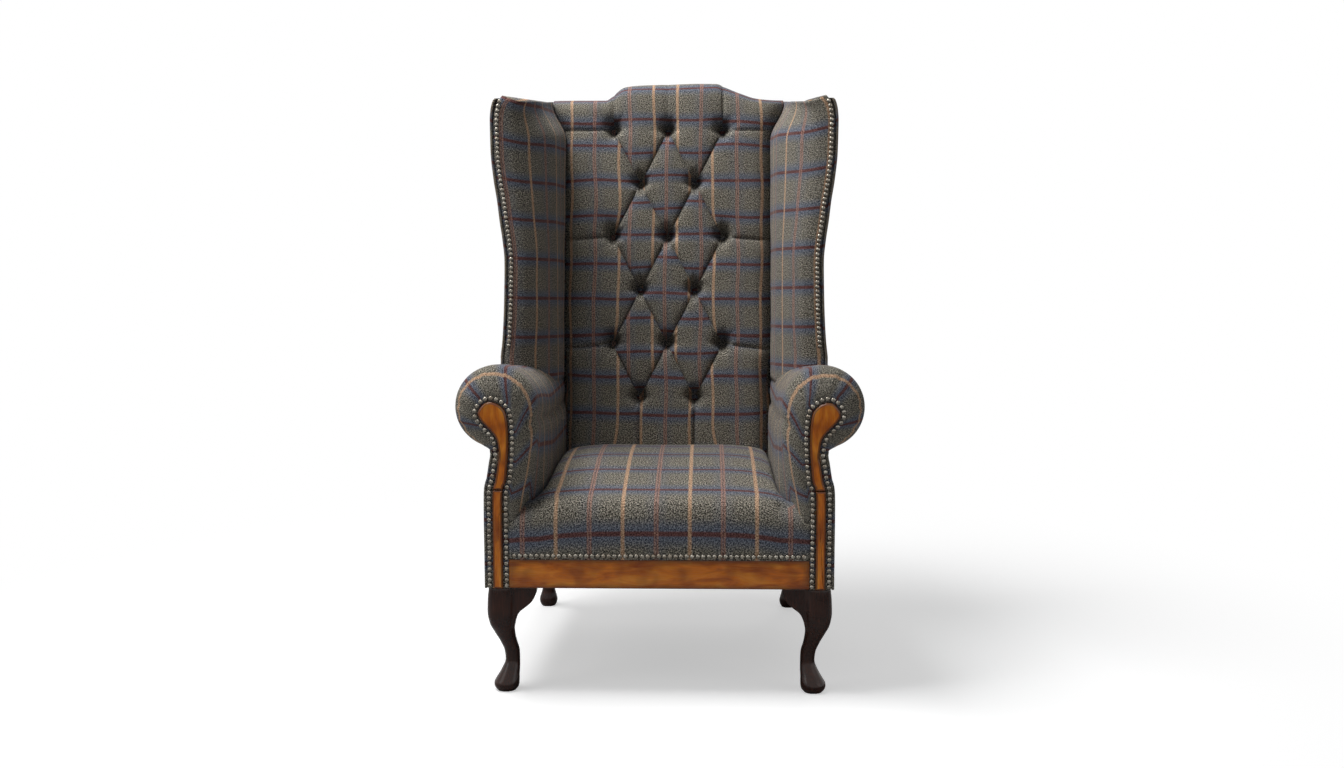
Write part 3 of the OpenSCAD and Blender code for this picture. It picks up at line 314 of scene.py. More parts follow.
# The plaid: map direction, centres, half width, soft edge, amount, darkest and lightest colour. The first two
# are straight, the others waver with the yarn
PLAID_U, PLAID_V = 0.12, 0.085
BLUE_DARK, BLUE_LIGHT = (24, 31, 44), (124, 136, 158)
STRIPES = [("v", [0.0], 0.0145, 0.011, 0.8, BLUE_DARK, BLUE_LIGHT),
           ("u", [0.0], 0.016, 0.010, 0.2, BLUE_DARK, BLUE_LIGHT),
           ("v_yarn", [0.0], 0.0034, 0.0014, 0.8, (42, 15, 10), (132, 72, 56)),
           ("u_yarn", [0.0], 0.0046, 0.0014, 0.42, (58, 30, 24), (166, 118, 102)),
           ("u_yarn", [0.0026, -0.0026], 0.0013, 0.0009, 0.52, (104, 66, 54), (222, 178, 158)),
           ("u_yarn", [0.06], 0.0033, 0.0014, 0.84, (122, 84, 58), (236, 198, 162))]


def tweed():
    """Marled wool with tan and rust overstripes, and red lines in blue bands"""
    g = Graph("chair_tweed", Roughness=0.95, Sheen_Weight=0.06, Sheen_Roughness=0.5, Specular_IOR_Level=0.1)
    uv = g.uv("fabric")
    u, v, _ = g.split(uv)
    fleck = g.noise(uv, 350.0, 3.0, 0.85, stretch=(1.0, 1.3, 1.0))
    fine = g.noise(uv, 620.0, 2.0, 0.8, stretch=(1.0, 0.7, 1.0))
    slub = g.noise(uv, 300.0, 2.0, 0.6, stretch=(0.15, 1.0, 1.0))
    cloud = g.noise(uv, 30.0, 3.0, 0.6)
    grain = g.math("ADD", g.times(fleck, 0.6), g.times(fine, 0.4))
    light = g.span(grain, 0.41, 0.59)
    wool = g.ramp(light, [(0.0, (19, 19, 18)), (0.3, (58, 56, 51)), (0.5, (93, 89, 81)),
                          (0.75, (136, 130, 117)), (1.0, (208, 200, 183))])
    wool = g.mix(g.span(cloud, 0.4, 0.7, 0.0, 0.35), wool, g.mix(light, (44, 44, 42), (160, 156, 146)))
    ways = {"u": u, "v": v, "u_yarn": g.shaken(u, slub, 0.0028), "v_yarn": g.shaken(v, fine, 0.0030)}
    for way, centres, half, soft, amount, dark, pale in STRIPES:
        period = PLAID_U if way.startswith("u") else PLAID_V
        mask, *more = [g.stripe(ways[way], period, centre, half, soft) for centre in centres]
        for other in more:
            mask = g.math("ADD", mask, other, clamp=True)
        wool = g.mix(g.times(mask, amount), wool, g.mix(light, dark, pale))
    return g.finish(wool, None, g.math("ADD", grain, g.times(slub, 0.4)), 0.0004, 0.35)


def show_wood():
    """Polished honey wood, darker towards its edges: partly burnished finish, partly painted shade"""
    g = Graph("honey_wood", Coat_Weight=0.3, Coat_Roughness=0.13, Specular_IOR_Level=0.3)
    uv = g.uv("grain")
    edge_wear_and_shade = g.split(g.uv("edge_wear_and_shade"))[0]
    long = g.noise(uv, 520.0, 4.0, 0.6, 0.3, (1.0, 0.06, 1.0))
    broad = g.noise(uv, 60.0, 3.0, 0.6, 0.8, (1.0, 0.22, 1.0))
    blotch = g.noise(uv, 17.0, 2.0, 0.5)
    base = g.ramp(broad, [(0.3, (182, 88, 12)), (0.5, (228, 126, 26)), (0.7, (250, 164, 56))])
    base = g.mix(g.times(long, 0.28), base, (156, 72, 10))
    base = g.mix(g.span(blotch, 0.42, 0.68, 0.0, 0.6), base, (124, 54, 8))
    # Dark towards the edges: partly burnished finish, partly painted shade of the rounded edges
    base = g.mix(g.span(g.shaken(edge_wear_and_shade, blotch, 0.5), 0.0, 0.5, 0.82, 0.0), base, (58, 27, 12))
    return g.finish(base, g.span(long, 0.3, 0.7, 0.22, 0.36), g.math("ADD", long, broad), 0.0003, 0.25)


def matter(name, noise, stops, rough, bump=None, blotch=None, rough_by_blotch=False, **sockets):
    """Wood or metal, coloured along one noise. Blotch: noise scale and detail, its span, amount and colour"""
    g = Graph(name, **sockets)
    place = g.place()
    main = leads = g.noise(place, *noise)
    colour = g.ramp(main, stops)
    if blotch:
        scale, detail, low, high, amount, stain = blotch
        patch = g.noise(place, scale, detail, 0.5)
        colour = g.mix(g.span(patch, low, high, 0.0, amount), colour, stain)
        leads = patch if rough_by_blotch else main
    return g.finish(colour, g.span(leads, 0.3, 0.7, *rough), *((main,) + bump if bump else ()))


def woven(name, dark, light, scale, rough=0.9):
    """Plain coarse weave, for webbing, hessian, stuffing and twine"""
    g = Graph(name, Roughness=rough, Specular_IOR_Level=0.15)
    place = g.place()
    x, y, z = g.split(place)
    weft, warp = (g.math("SINE", g.times(way, scale)) for way in (x, g.math("ADD", y, z)))
    cross = g.math("MULTIPLY_ADD", g.times(weft, warp), 0.35, 0.5)
    fuzz = g.noise(place, 260.0, 3.0, 0.7)
    height = g.math("MULTIPLY_ADD", fuzz, 0.5, g.times(cross, 0.5))
    return g.finish(g.ramp(height, [(0.25, dark), (0.75, light)]), None, height, 0.0008, 0.6)


TWEED, HONEY = tweed(), show_wood()
DARK = matter("dark_polish", (330.0, 4.0, 0.6, 0.2, (1.0, 1.0, 0.08)),
              [(0.3, (30, 12, 6)), (0.55, (48, 21, 11)), (0.75, (72, 33, 17))], (0.2, 0.34), (0.0003, 0.3),
              (26.0, 2.0, 0.5, 0.75, 0.5, (58, 28, 16)), True,
              Coat_Weight=0.2, Coat_Roughness=0.1, Specular_IOR_Level=0.22)
NAIL = matter("antique_nails", (420.0, 3.0, 0.6),
              [(0.3, (78, 73, 66)), (0.55, (140, 135, 125)), (0.75, (206, 201, 190))], (0.16, 0.34),
              (0.0002, 0.2), (95.0, 1.0, 0.45, 0.7, 0.4, (108, 92, 74)), Metallic=1.0)
BLACK = woven("black_lining", (14, 14, 15), (44, 44, 46), 4200.0)
SLOTS = {
    "tweed": TWEED, "show_wood": HONEY, "leg_wood": DARK, "nail_heads": NAIL, "black_cloth": BLACK,
    "frame_wood": matter("frame_beech", (240.0, 4.0, 0.6, 0.4, (1.0, 1.0, 0.1)),
                         [(0.3, (176, 134, 88)), (0.55, (208, 170, 122)), (0.75, (226, 194, 150))],
                         (0.55, 0.75), (0.0004, 0.3), Specular_IOR_Level=0.3),
    "steel": matter("spring_steel", (300.0, 3.0, 0.6), [(0.3, (118, 110, 104)), (0.7, (190, 188, 186))],
                    (0.3, 0.5), Metallic=1.0),
    "webbing": woven("jute_webbing", (120, 92, 56), (196, 166, 118), 2600.0),
    "hessian": woven("hessian_cloth", (138, 112, 76), (208, 180, 134), 3400.0),
    "stuffing": woven("fibre_felt", (188, 178, 156), (228, 220, 202), 900.0),
    "twine": woven("waxed_twine", (170, 154, 118), (222, 208, 176), 3000.0, 0.6)}


# Meshes

def placed(name, data):
    """A new object in the scene"""
    obj = bpy.data.objects.new(name, data)
    bpy.context.scene.collection.objects.link(obj)
    return obj


def metres(name, vertices):
    """Vertices in metres. A left piece is the mirror image of the right one"""
    return np.asarray(vertices, float) * [-0.001 if name.endswith("_left") else 0.001, 0.001, 0.001]


def dressed(piece, node):
    """Hide the node that a piece takes the place of"""
    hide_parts(node)


def make_piece(name, vertices, faces, maps, material):
    """A smooth-shaded object; each map gives two numbers per face corner, in millimetres"""
    v = metres(name, vertices)
    mesh = bpy.data.meshes.new(name)
    mesh.from_pydata(v.tolist(), [], [list(map(int, f)) for f in faces])
    volume = sum(np.dot(v[f[0]], np.cross(v[f[k]], v[f[k + 1]])) for f in faces for k in range(1, len(f) - 1))
    for key, per_corner in maps.items():
        mesh.uv_layers.new(name=key).data.foreach_set("uv", (per_corner * 0.001).ravel())
    if volume < 0:
        mesh.flip_normals()
    mesh.polygons.foreach_set("use_smooth", [True] * len(mesh.polygons))
    mesh.materials.append(material)
    mesh.validate()
    mesh.update()
    piece = placed(name, mesh)
    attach(piece, "root")
    return piece


def grid_quads(rows, cols):
    """Row, column and four corners of each face of a grid whose rows close on themselves"""
    r, c = np.divmod(np.arange((rows - 1) * cols), cols)
    after = (c + 1) % cols
    return r, c, np.stack([r * cols + c, r * cols + after, (r + 1) * cols + after, (r + 1) * cols + c], 1)


def grid_piece(name, p, maps, material):
    """A piece from closed rows of points, with flat ends. Each map has one more column than there are points"""
    rows, cols, _ = p.shape
    r, c, quads = grid_quads(rows, cols)
    faces = list(quads)
    corners = {key: [np.stack([m[r, c], m[r, c + 1], m[r + 1, c + 1], m[r + 1, c]], 1).reshape(-1, 2)]
               for key, m in maps.items()}
    for row, order in ((0, np.arange(cols)[::-1]), (rows - 1, np.arange(cols))):
        faces.append(row * cols + order)
        widest = np.sort(np.argsort(np.ptp(p[row], axis=0))[1:])
        for key in maps:
            # Flat ends count as far from the edges, so they get neither burnished finish nor painted shade
            corners[key].append(np.full((cols, 2), 1000.0) if key == "edge_wear_and_shade" else p[row][order][:, widest])
    maps = {key: np.concatenate(m) for key, m in corners.items()}
    return make_piece(name, p.reshape(-1, 3), faces, maps, material)


def closed_map(p, u, v):
    """A map for closed rows of points: its last column is one step on from the column before"""
    m = np.stack([np.broadcast_to(k, p.shape[:2]) for k in (u, v)], 2)
    return np.concatenate([m, m[:, -1:] + (m[:, -1:] - m[:, -2:-1])], 1)


def looped(m):
    """A map whose last column is its first"""
    return np.concatenate([m, m[:, :1]], 1)


def cloth(part, p, u, v, side=""):
    """A padded piece of tweed"""
    piece = grid_piece(part + "_form" + side, p, {"fabric": closed_map(p, u, v)}, TWEED)
    dressed(piece, part + side)


def inside_of(outline, n, reach):
    """A closed outline in n even steps, and the way inwards at each of its points"""
    q = evenly(np.vstack([outline, outline[:1]]), n + 1)[:-1]
    area = np.sum(q[:, 0] * np.roll(q[:, 1], -1) - np.roll(q[:, 0], -1) * q[:, 1])
    return q, math.copysign(1.0, area) * left_of(np.roll(q, -reach, 0) - np.roll(q, reach, 0))


def quarter(steps):
    """What is left to go inwards and back along a quarter round, from its outer to its front end"""
    for k in range(steps + 1):
        a = math.pi / 2 * k / steps
        yield 1 - math.cos(a), 1 - math.sin(a)


def turned(profile, sides):
    """A turned head: across, back and up from its tip, and the faces between its rings"""
    a = 2 * math.pi * np.arange(sides) / sides
    rings = [np.stack([r * np.cos(a), np.full(sides, d), r * np.sin(a)], 1) for r, d in profile]
    return np.vstack(rings), grid_quads(len(profile), sides)[2]


# The seat: an unbroken crowned cover, from the nails on the front rail over to the back. Each row of the table
# has a share of the depth, a share of the rise and how much its sides fall. Two red lines place the plaid
SEAT = np.array([
    [0.0014, 0, 0], [0.0004, 0.13, 0], [0, 0.29, 0], [0.003, 0.44, 0.01], [0.013, 0.56, 0.03],
    [0.033, 0.66, 0.06], [0.067, 0.72, 0.08], [0.11, 0.755, 0.09], [0.19, 0.815, 0.12], [0.28, 0.875, 0.16],
    [0.39, 0.93, 0.19], [0.52, 0.98, 0.22], [0.66, 1, 0.24], [0.81, 0.99, 0.24], [0.94, 0.95, 0.22],
    [1, 0.92, 0.2]])
SEAT_RISE = SEAT_TOP - SEAT_LOW
SHOULDER_ROW, SEAT_UNDER = 7, 338.0
RED_FRONT_Z, RED_TOP_DEPTH = 314.7, 78.0


def spread(depth):
    """How far the seat and the foot of each arm draw apart towards the front"""
    return 34.0 * np.exp(-np.clip(np.asarray(depth) - 40.0, 0, None) / 56.0)


def seat_cover():
    r = np.unique(np.concatenate([np.linspace(0, SHOULDER_ROW, 50), np.linspace(SHOULDER_ROW, 15, 60),
                                  [9.97, 10.0, 10.03]]))
    depth_share, rise, drop = (smooth(np.arange(len(SEAT)), SEAT[:, k], r) for k in range(3))
    crease = np.array([0.955, 0.965, 0.98, 0.99, 0.996])
    middle = np.unique(np.concatenate([np.linspace(-1, 1, 73), crease, -crease])) * SEAT_HALF
    # Columns of the ears, which reach out in front of the arm posts as far as the facings
    ears = np.array([227.6, 233, 240, 248, 257, 266, 275, 281, 283.3, 283.6, 289, 295.5])
    xs = np.concatenate([-ears[::-1], middle, ears])
    half = np.abs(xs)
    first = np.interp(half, [227.3, 261, 283.2, 283.54], [2.5, 2.5, 3.85, 5.2])
    deep = np.interp(half, [283.3, 283.55], [53.5, 5.5])
    limit = np.interp(half, [283.3, 283.55], [53.5, 9.7])
    t = np.interp(half, [227.3, 261, 283.2, 295.5], [0, 0.4, 1, 1.1])
    side = unit(half / SEAT_HALF)
    tuck = unit((side - 0.86) / 0.14) ** 3
    rows = []
    for k, x in enumerate(xs):
        fall = 0.62 * drop * side[k] ** 4.5
        z = SEAT_LOW + SEAT_RISE * (rise - fall - 0.05 * tuck[k] * unit((r - 3) / 2))
        on_top = half[k] <= SEAT_HALF
        if on_top:
            z = z - 7.0 * unit((r - 5) / 5) * (1 - side[k] ** 2)
            z = z - 13.0 * max(0.0, (side[k] - 0.955) / 0.045) ** 2 * unit((r - 6.5) / 2)
            depth = mix(2.5, pad_depth(z) - 0.3, depth_share)
            tail = [[pad_depth(SEAT_UNDER) - 0.3, SEAT_UNDER], [16.0, SEAT_UNDER], [16.0, SEAT_LOW]]
        else:
            z = z - 0.09 * SEAT_RISE * t[k] * unit(r / SHOULDER_ROW)
            depth = np.maximum(first[k], mix(2.5, pad_depth(SEAT_TOP) - 0.3, depth_share))
            depth = np.minimum(depth, mix(first[k], deep[k], unit(r / SHOULDER_ROW)))
            corner = np.interp(SHOULDER_ROW, r, z)
            in_front = r <= SHOULDER_ROW
            z = np.where(in_front, z, mix(corner, SEAT_LOW, (r - SHOULDER_ROW) / 9))
            depth = np.where(in_front, depth, limit[k])
            tail = [[mix(first[k], limit[k], share), SEAT_LOW] for share in (0.9, 0.6, 0.3)]
        pulls = 0.35 * np.cos(2 * math.pi * x / 10.5) * bell(z, 271, 9) * (r < 3)
        depth = depth + pulls - (1.2 * waves(x, r * 30, 4.0, size=170) * bell(r, 6, 5) * (side[k] < 0.9))
        z = z - 1.6 * bell(r, 10.0, 0.045) * (side[k] < 0.995)
        share = side[k] ** 14 if on_top else max(0.0, 1 - (half[k] - SEAT_HALF) / 56.3)
        wide = np.sign(x) * (spread(depth) * smooth([32, 45, 58], [0, 0.5, 1], depth)) * share
        rows.append(np.vstack([points(x + wide, depth, z), points(x, *np.transpose(tail))]))
    p = np.array(rows)
    middle = p[len(xs) // 2]
    run = along(middle)
    low_red = np.interp(RED_FRONT_Z, middle[:40, 2], run[:40])
    high_red = np.interp(RED_TOP_DEPTH, middle[30:len(r), 1] - FRONT_Y, run[30:len(r)])
    v = (run[None] + 11.0 * (side[:, None] ** 4) - low_red) * 85 / (high_red - low_red)
    cloth("seat_cover", p, ((xs + 5.0) * 60 / 63.3)[:, None], v)


# The buttoned back, one mesh whose lines follow the pleats. The crest's table: share of the half width, and of
# the rise
CREST = np.array([[-1, 0], [-0.475, 0.02], [-0.43, 0.23], [-0.38, 0.58], [-0.33, 0.8], [-0.216, 0.9], [0, 0.96],
                  [0.24, 1], [0.362, 1], [0.452, 0.72], [0.545, 0.42], [0.674, 0.1], [0.82, 0.01], [1, 0]])
BUTTONS = [((2 * i - 1 if row % 2 == 0 else 2 * i - 2) * BUTTON_COL, BUTTON_LOW + row * BUTTON_ROW)
           for row in range(6) for i in range(2 + row % 2)]
CREST_HALF = 262.4
# Height and sideways fall of the lines that run from the side buttons to the wings
SIDE_FALL = [(BUTTON_LOW + BUTTON_ROW, 12.0), (BUTTON_LOW + 3 * BUTTON_ROW, 8.0)]
FINE = 32


def crest_height(x):
    """Height of the crest across the back"""
    return SHOULDER + CREST_RISE * read_off(CREST, np.clip(np.asarray(x) / BACK_HALF, -1, 1))[0]


def back_side(z):
    """Half the width of the back, which shows between the arms and wings and widens over the wing tops"""
    t = unit((z - 1088) / 80)
    return mix(224.2, 232.3, unit((z - ROLL_Z) / ROLL_R)) + 30.1 * t * t * (3 - 2 * t)


def segment_distance(x, z, a, b):
    """Distance from a fold, and the share of the way along it"""
    a, b = np.array(a, float), np.array(b, float)
    d = b - a
    t = unit(((x - a[0]) * d[0] + (z - a[1]) * d[1]) / (d @ d))
    return np.hypot(x - a[0] - t * d[0], z - a[1] - t * d[1]), t


def tuft(x, z):
    """How far the cloth lies behind the crown of its cells"""
    pleat = np.zeros_like(x)
    folds = []
    for bx, bz in BUTTONS:
        for cx, cz in BUTTONS:
            if cz - bz == BUTTON_ROW and abs(cx - bx) == BUTTON_COL:
                folds.append(((bx, bz), (cx, cz), 1.0, 1.0))
        if abs(bx) == 2 * BUTTON_COL:
            top_row = bz == BUTTON_LOW + 5 * BUTTON_ROW
            folds.append(((bx, bz), (math.copysign(240, bx), bz), 0.6 if top_row else 1.0, 0.45))
        if bz == BUTTON_LOW:
            folds.append(((bx, bz), (bx, BACK_LOW), 1.0, 1.0))
        if bz == BUTTON_LOW + 5 * BUTTON_ROW:
            folds.append(((bx, bz), (bx, 1190.0), 1.0, 0.75 if bx else 0.0))
    for a, b, near, far in folds:
        d, t = segment_distance(x, z, a, b)
        strength = mix(near, far, t)
        pleat = np.maximum(pleat, strength * (8.5 * np.exp(-d / 2.3) + 5.0 * np.exp(-(d / 15.0) ** 1.4)))
    pit = np.zeros_like(x)
    fan = np.zeros_like(x)
    for k, (bx, bz) in enumerate(BUTTONS):
        dx, dz = x - bx, z - bz
        dx = dx * (1 + 0.5 * unit(-dz / 14.0))
        dz = np.where(dz > 0, dz / 1.35, dz)
        d = np.hypot(dx, dz)
        angle = np.arctan2(dz, dx)
        pit = np.maximum(pit, 38.0 / (1 + (d / 15.5) ** 5) + 7.0 * np.exp(-(d / 30.0) ** 1.3))
        lobes = np.sin(11 * angle + 6.28 * hashed(k, 2.0)) + 0.7 * np.sin(17 * angle + 6.28 * hashed(k, 5.0))
        fan = fan + lobes * bell(d, 19, 13)
    depth = (pleat ** 4 + pit ** 4) ** 0.25
    return np.minimum(depth, PIT + 2.0) + 0.7 * fan + 0.7 * waves(x, z, 9.0, size=110)


# The cells of the buttoning, by column and row of the button lattice: height of a red line, and
# the space between two of them
CELL_LINES = {(1, 5): (1056.3, 74), (0, 4): (929.6, 74), (1, 3): (797.7, 74), (0, 2): (738.6, 82),
              (1, 1): (607.3, 78), (0, 0): (468.7, 85), (2, 6): (1124.4, 84), (2, 4): (993.3, 80),
              (2, 2): (727.5, 79), (2, 0): (556.0, 84.4)}
CELL_SHIFT = {-2: -62.3, -1: -28.5, 0: 0.0, 1: 32.3, 2: 61.0}


def cell_of(x, z):
    """Column and row of the cell that a point lies in"""
    a, b = x / BUTTON_COL, (z - BUTTON_LOW) / BUTTON_ROW
    best = np.full(x.shape, 1e9)
    column, level = np.zeros(x.shape), np.zeros(x.shape)
    for j in range(0, 6):
        for i in range(-1, 2):
            if (i + j) % 2 == 0:
                off = np.abs(a - i) + np.abs(b - j)
                column, level = np.where(off < best, i, column), np.where(off < best, j, level)
                best = np.minimum(best, off)
    top, foot = b > 5, b < 0
    column = np.where(top, np.sign(a), np.where(foot, 0, column))
    level = np.where(top, 5, np.where(foot, 0, level))
    side = np.where(top, np.abs(a) > 2, np.where(foot, np.abs(a) > 1, best > 1)) & (np.abs(a) > 1)
    column = np.where(side, 2 * np.sign(a), column)
    level = np.where(side, np.clip(np.floor((b - 1) / 2) * 2 + 2, 0, 6), level)
    return column, level


def back_uv(x, z, column, level):
    """Cloth coordinates of the back. Each cell holds more cloth than shows, so the plaid jumps at its pleats"""
    drift_x = 3.0 * waves(x, z, 41.0, size=330)
    drift_z = 3.2 * waves(x, z, 43.0, size=300)
    low = BUTTON_LOW + BUTTON_ROW * (level - 1)
    pull = 9.0 * bell(z, low, 38.0) * bell(np.abs(x), 118, 40.0)
    pull = np.where(np.abs(column) == 2, pull, 0.0)
    u = 1.11 * (x + 4.0 - np.sign(x) * pull + drift_x) + sum(np.where(column == k, v, 0.0)
                                                           for k, v in CELL_SHIFT.items())
    v = np.zeros_like(u)
    for (k, j), (line, space) in CELL_LINES.items():
        v = np.where((np.abs(column) == k) & (level == j), (z + drift_z - line) * 85.0 / space, v)
    return u, v


CREST_RAIL_T, LID, COVER_REAR = 50.0, 11.7, 69.65


def back_cover():
    """Up the buttoned front, over the crest, down behind its lid and back to the foot"""
    step_x, step_z = BUTTON_COL / FINE, BUTTON_ROW / FINE
    low = BACK_LOW + (BUTTON_LOW - BACK_LOW) * np.linspace(0, 1, 41)[:-1]
    zs = np.concatenate([low, BUTTON_LOW + step_z * np.arange(0, int(round(640 / step_z)) + 1)])
    inner = step_x * np.arange(-2 * FINE, 2 * FINE + 1)
    share = np.linspace(0, 1, 37)[1:]

    def columns(half):
        out = mix(2 * BUTTON_COL, half, share)
        return np.concatenate([-out[::-1], inner, out])

    edge = np.concatenate([share[::-1], np.zeros(len(inner)), share])
    roll = 24.0 * (np.exp(-(((1 - edge) * 106 / 15.0) ** 1.3)) * (edge > 0))
    rows = []
    for z in zs:
        x = columns(back_side(z))
        zz = np.full_like(x, z)
        drop = sum(depth * bell(z, level, 20.0) for level, depth in SIDE_FALL)
        low = zz - drop * unit((np.abs(x) - 2 * BUTTON_COL) / 100.0)
        rows.append(points(x, pad_depth(z) + tuft(x, zz) + roll, low))
    top_z = zs[-1]
    near, far = pad_depth(top_z), rear_depth(SHOULDER)
    join = (rear_depth(SHOULDER) - CREST_RAIL_T + 0.3 - near) / (far - near)
    turn = np.concatenate([np.linspace(0, 1, 20)[1:-1] * join, [join]])
    fade = tuft(columns(CREST_HALF), np.full(len(edge), top_z))
    for s in turn:
        x = columns(CREST_HALF)
        rise = smooth([0, 0.03, 0.15, 0.36, join], [0, 0.55, 0.88, 1, 1], s)
        lift = mix(top_z, crest_height(x), rise) - 0.35 * fade * unit(rise) * (1 - s / join)
        rows.append(points(x, mix(near, far, s) + (fade + roll) * (1 - s / join) ** 2,
                           lift - 1.2 * bell(s, 0.13, 0.012)))
    for s, rise in ((join + 0.005, 1.0), (mix(join, 1, 0.4), 0.985), (mix(join, 1, 0.75), 0.9),
                    (mix(join, 1, 0.92), 0.76), (0.997, 0.55)):
        x = columns(BACK_HALF)
        rows.append(points(x, mix(near, far, s), mix(top_z, crest_height(x), rise)))
    under = crest_height(x) - LID
    rows += [points(x, rear_depth(under) - inset, under) for inset in (0.3, CREST_RAIL_T + 0.1)]
    rows += [points(columns(CREST_HALF if z > 1120 else back_side(z)), rear_depth(z) - COVER_REAR, z)
             for z in (1150.0, 1107.0, 629.0, 551.0, BACK_LOW)]
    p = np.array(rows)
    n_front = len(zs)
    count, cols, _ = p.shape
    height = along(p[:, cols // 2])
    flat_z = np.where(np.arange(count) < n_front, np.concatenate([zs, np.zeros(count - n_front)]),
                      top_z + height - height[n_front - 1])
    r, c = np.divmod(np.arange(count * (cols - 1)), cols - 1)
    after = (r + 1) % count
    falling = (np.floor(p[np.minimum(r, n_front - 1), c, 0] / BUTTON_COL + 1e-6)
               + np.floor((flat_z[r] - BUTTON_LOW) / BUTTON_ROW + 1e-6)) % 2 == 0
    next_z = np.where(after > 0, flat_z[after], flat_z[r] + 5)
    halves = np.where(falling[:, None, None], [[0, 1, 3], [1, 2, 3]], [[0, 1, 2], [0, 2, 3]]).reshape(-1, 6)
    row, col, z = (np.take_along_axis(np.stack(four, 1), halves, 1).reshape(-1, 3) for four in
                   ((r, r, after, after), (c, c + 1, c + 1, c), (flat_z[r], flat_z[r], next_z, next_z)))
    faces = list(row * cols + col)
    x = p[row, col, 0]
    cell = [np.repeat(of[:, None], 3, 1) for of in cell_of(x.mean(1), z.mean(1))]
    uv = np.stack(back_uv(x, z, *cell), 2).reshape(-1, 2)
    for c, order in ((0, np.arange(count)), (cols - 1, np.arange(count)[::-1])):
        faces.append(order * cols + c)
        uv = np.concatenate([uv, p[order][:, c][:, [1, 2]]])
    piece = make_piece("back_cover_form", p.reshape(-1, 3), faces, {"fabric": uv}, TWEED)
    dressed(piece, "back_cover")


def back_buttons():
    """Covered buttons, domed, with the cloth drawn in behind them"""
    head, quads = turned([(0.02, 0.0), (2.5, 0.25), (4.8, 1.0), (6.6, 2.3), (7.7, 4.2), (7.9, 6.0), (7.2, 7.6),
                          (5.5, 8.6), (3.0, 9.2), (0.02, 9.4)], 20)
    cos, sin = math.cos(math.atan(LEAN)), math.sin(math.atan(LEAN))
    head = np.stack([head[:, 0], head[:, 1] * cos + head[:, 2] * sin, head[:, 2] * cos - head[:, 1] * sin], 1)
    vertices, faces, uv = [], [], []
    for k, (bx, bz) in enumerate(BUTTONS):
        v = np.array([bx, FRONT_Y + pad_depth(bz) + PIT - 3.5, bz - 3.0]) + head
        vertices.append(v)
        faces += list(quads + k * len(head))
        uv.append((v[quads][:, :, [0, 2]] + [31 * hashed(k), 27 * hashed(k, 3)]).reshape(-1, 2))
    piece = make_piece("button_heads", np.vstack(vertices), faces, {"fabric": np.vstack(uv)}, TWEED)
    dressed(piece, "back_buttons")


# Facings, and the curve that everything at the arm front follows
FACING_SHARES = [
    [0.21, 0.01], [0.11, 0.096], [0.07, 0.222], [0.034, 0.353], [0.01, 0.491], [0.01, 0.617], [0.026, 0.743],
    [0.08, 0.865], [0.18, 0.928], [0.345, 0.975], [0.56, 1], [0.76, 0.985], [0.93, 0.922], [0.99, 0.862],
    [0.89, 0.79], [0.69, 0.713], [0.5, 0.64], [0.38, 0.563], [0.33, 0.46], [0.31, 0.383], [0.36, 0.3],
    [0.4, 0.21], [0.457, 0.096], [0.53, 0.01]]
FACING_POINTS = ([[LOWER_X, LEG_H], [LOWER_X, (LEG_H + EAR_TOP) / 2], [LOWER_X, EAR_TOP]]
                 + [[FACING_X + a * FACING_W, JOINT_H + b * FACING_H] for a, b in FACING_SHARES]
                 + [[LOWER_X + LOWER_W, EAR_TOP], [LOWER_X + LOWER_W, (LEG_H + EAR_TOP) / 2],
                    [LOWER_X + LOWER_W, LEG_H]])
PATH = spline(FACING_POINTS, 3)
FINE_PATH = spline(FACING_POINTS, 8)
INNER_FOOT, INNER_WAIST, OUTER_WAIST = 6, 21, 63


def domed_plate(part, outline, side, edge=4.0):
    """A wooden plate with a rounded front edge, from its outline in the front view"""
    q, inwards = inside_of(outline, 180, 2)
    rounds = [(0.4, FACING_T - 0.05, 0.0), (0.0, FACING_T - 0.6, 0.0)]
    rounds += [(edge * inset, edge * back, 0.25 * edge * inset) for inset, back in quarter(6)]
    rounds.append((edge + 1.6, 0.02, edge + 1.6))
    p = np.array([at_depth(q + inwards * inset, back) for inset, back, _ in rounds])
    # Distance in from the edge; the rounded edge is darkened: partly burnished finish, partly painted shade
    edge_wear_and_shade = np.array([w for _, _, w in rounds]) / (edge + 1.6) * 1000
    maps = {"grain": looped(p[:, :, [0, 2]]),
            "edge_wear_and_shade": np.broadcast_to(edge_wear_and_shade[:, None, None], (len(rounds), len(q) + 1, 2))}
    dressed(grid_piece(part + "_form" + side, p, maps, HONEY), part + side)


def facings(side):
    """The scroll facing, and under a fine joint the post facing"""
    upper = FINE_PATH[FINE_PATH[:, 1] >= JOINT_H + 0.4]
    upper = np.vstack([[[FACING_X + 0.212 * FACING_W, JOINT_H + 0.3]], upper,
                       [[FACING_X + 0.528 * FACING_W, JOINT_H + 0.3]]])
    lower = FINE_PATH[FINE_PATH[:, 1] <= JOINT_H - 0.6]
    half = len(lower) // 2
    lower = np.vstack([lower[:half], [[FACING_X + 0.215 * FACING_W, JOINT_H - 0.4],
                                      [FACING_X + 0.525 * FACING_W, JOINT_H - 0.4]], lower[half:]])
    domed_plate("arm_facing", upper, side)
    domed_plate("post_facing", lower, side, 3.2)


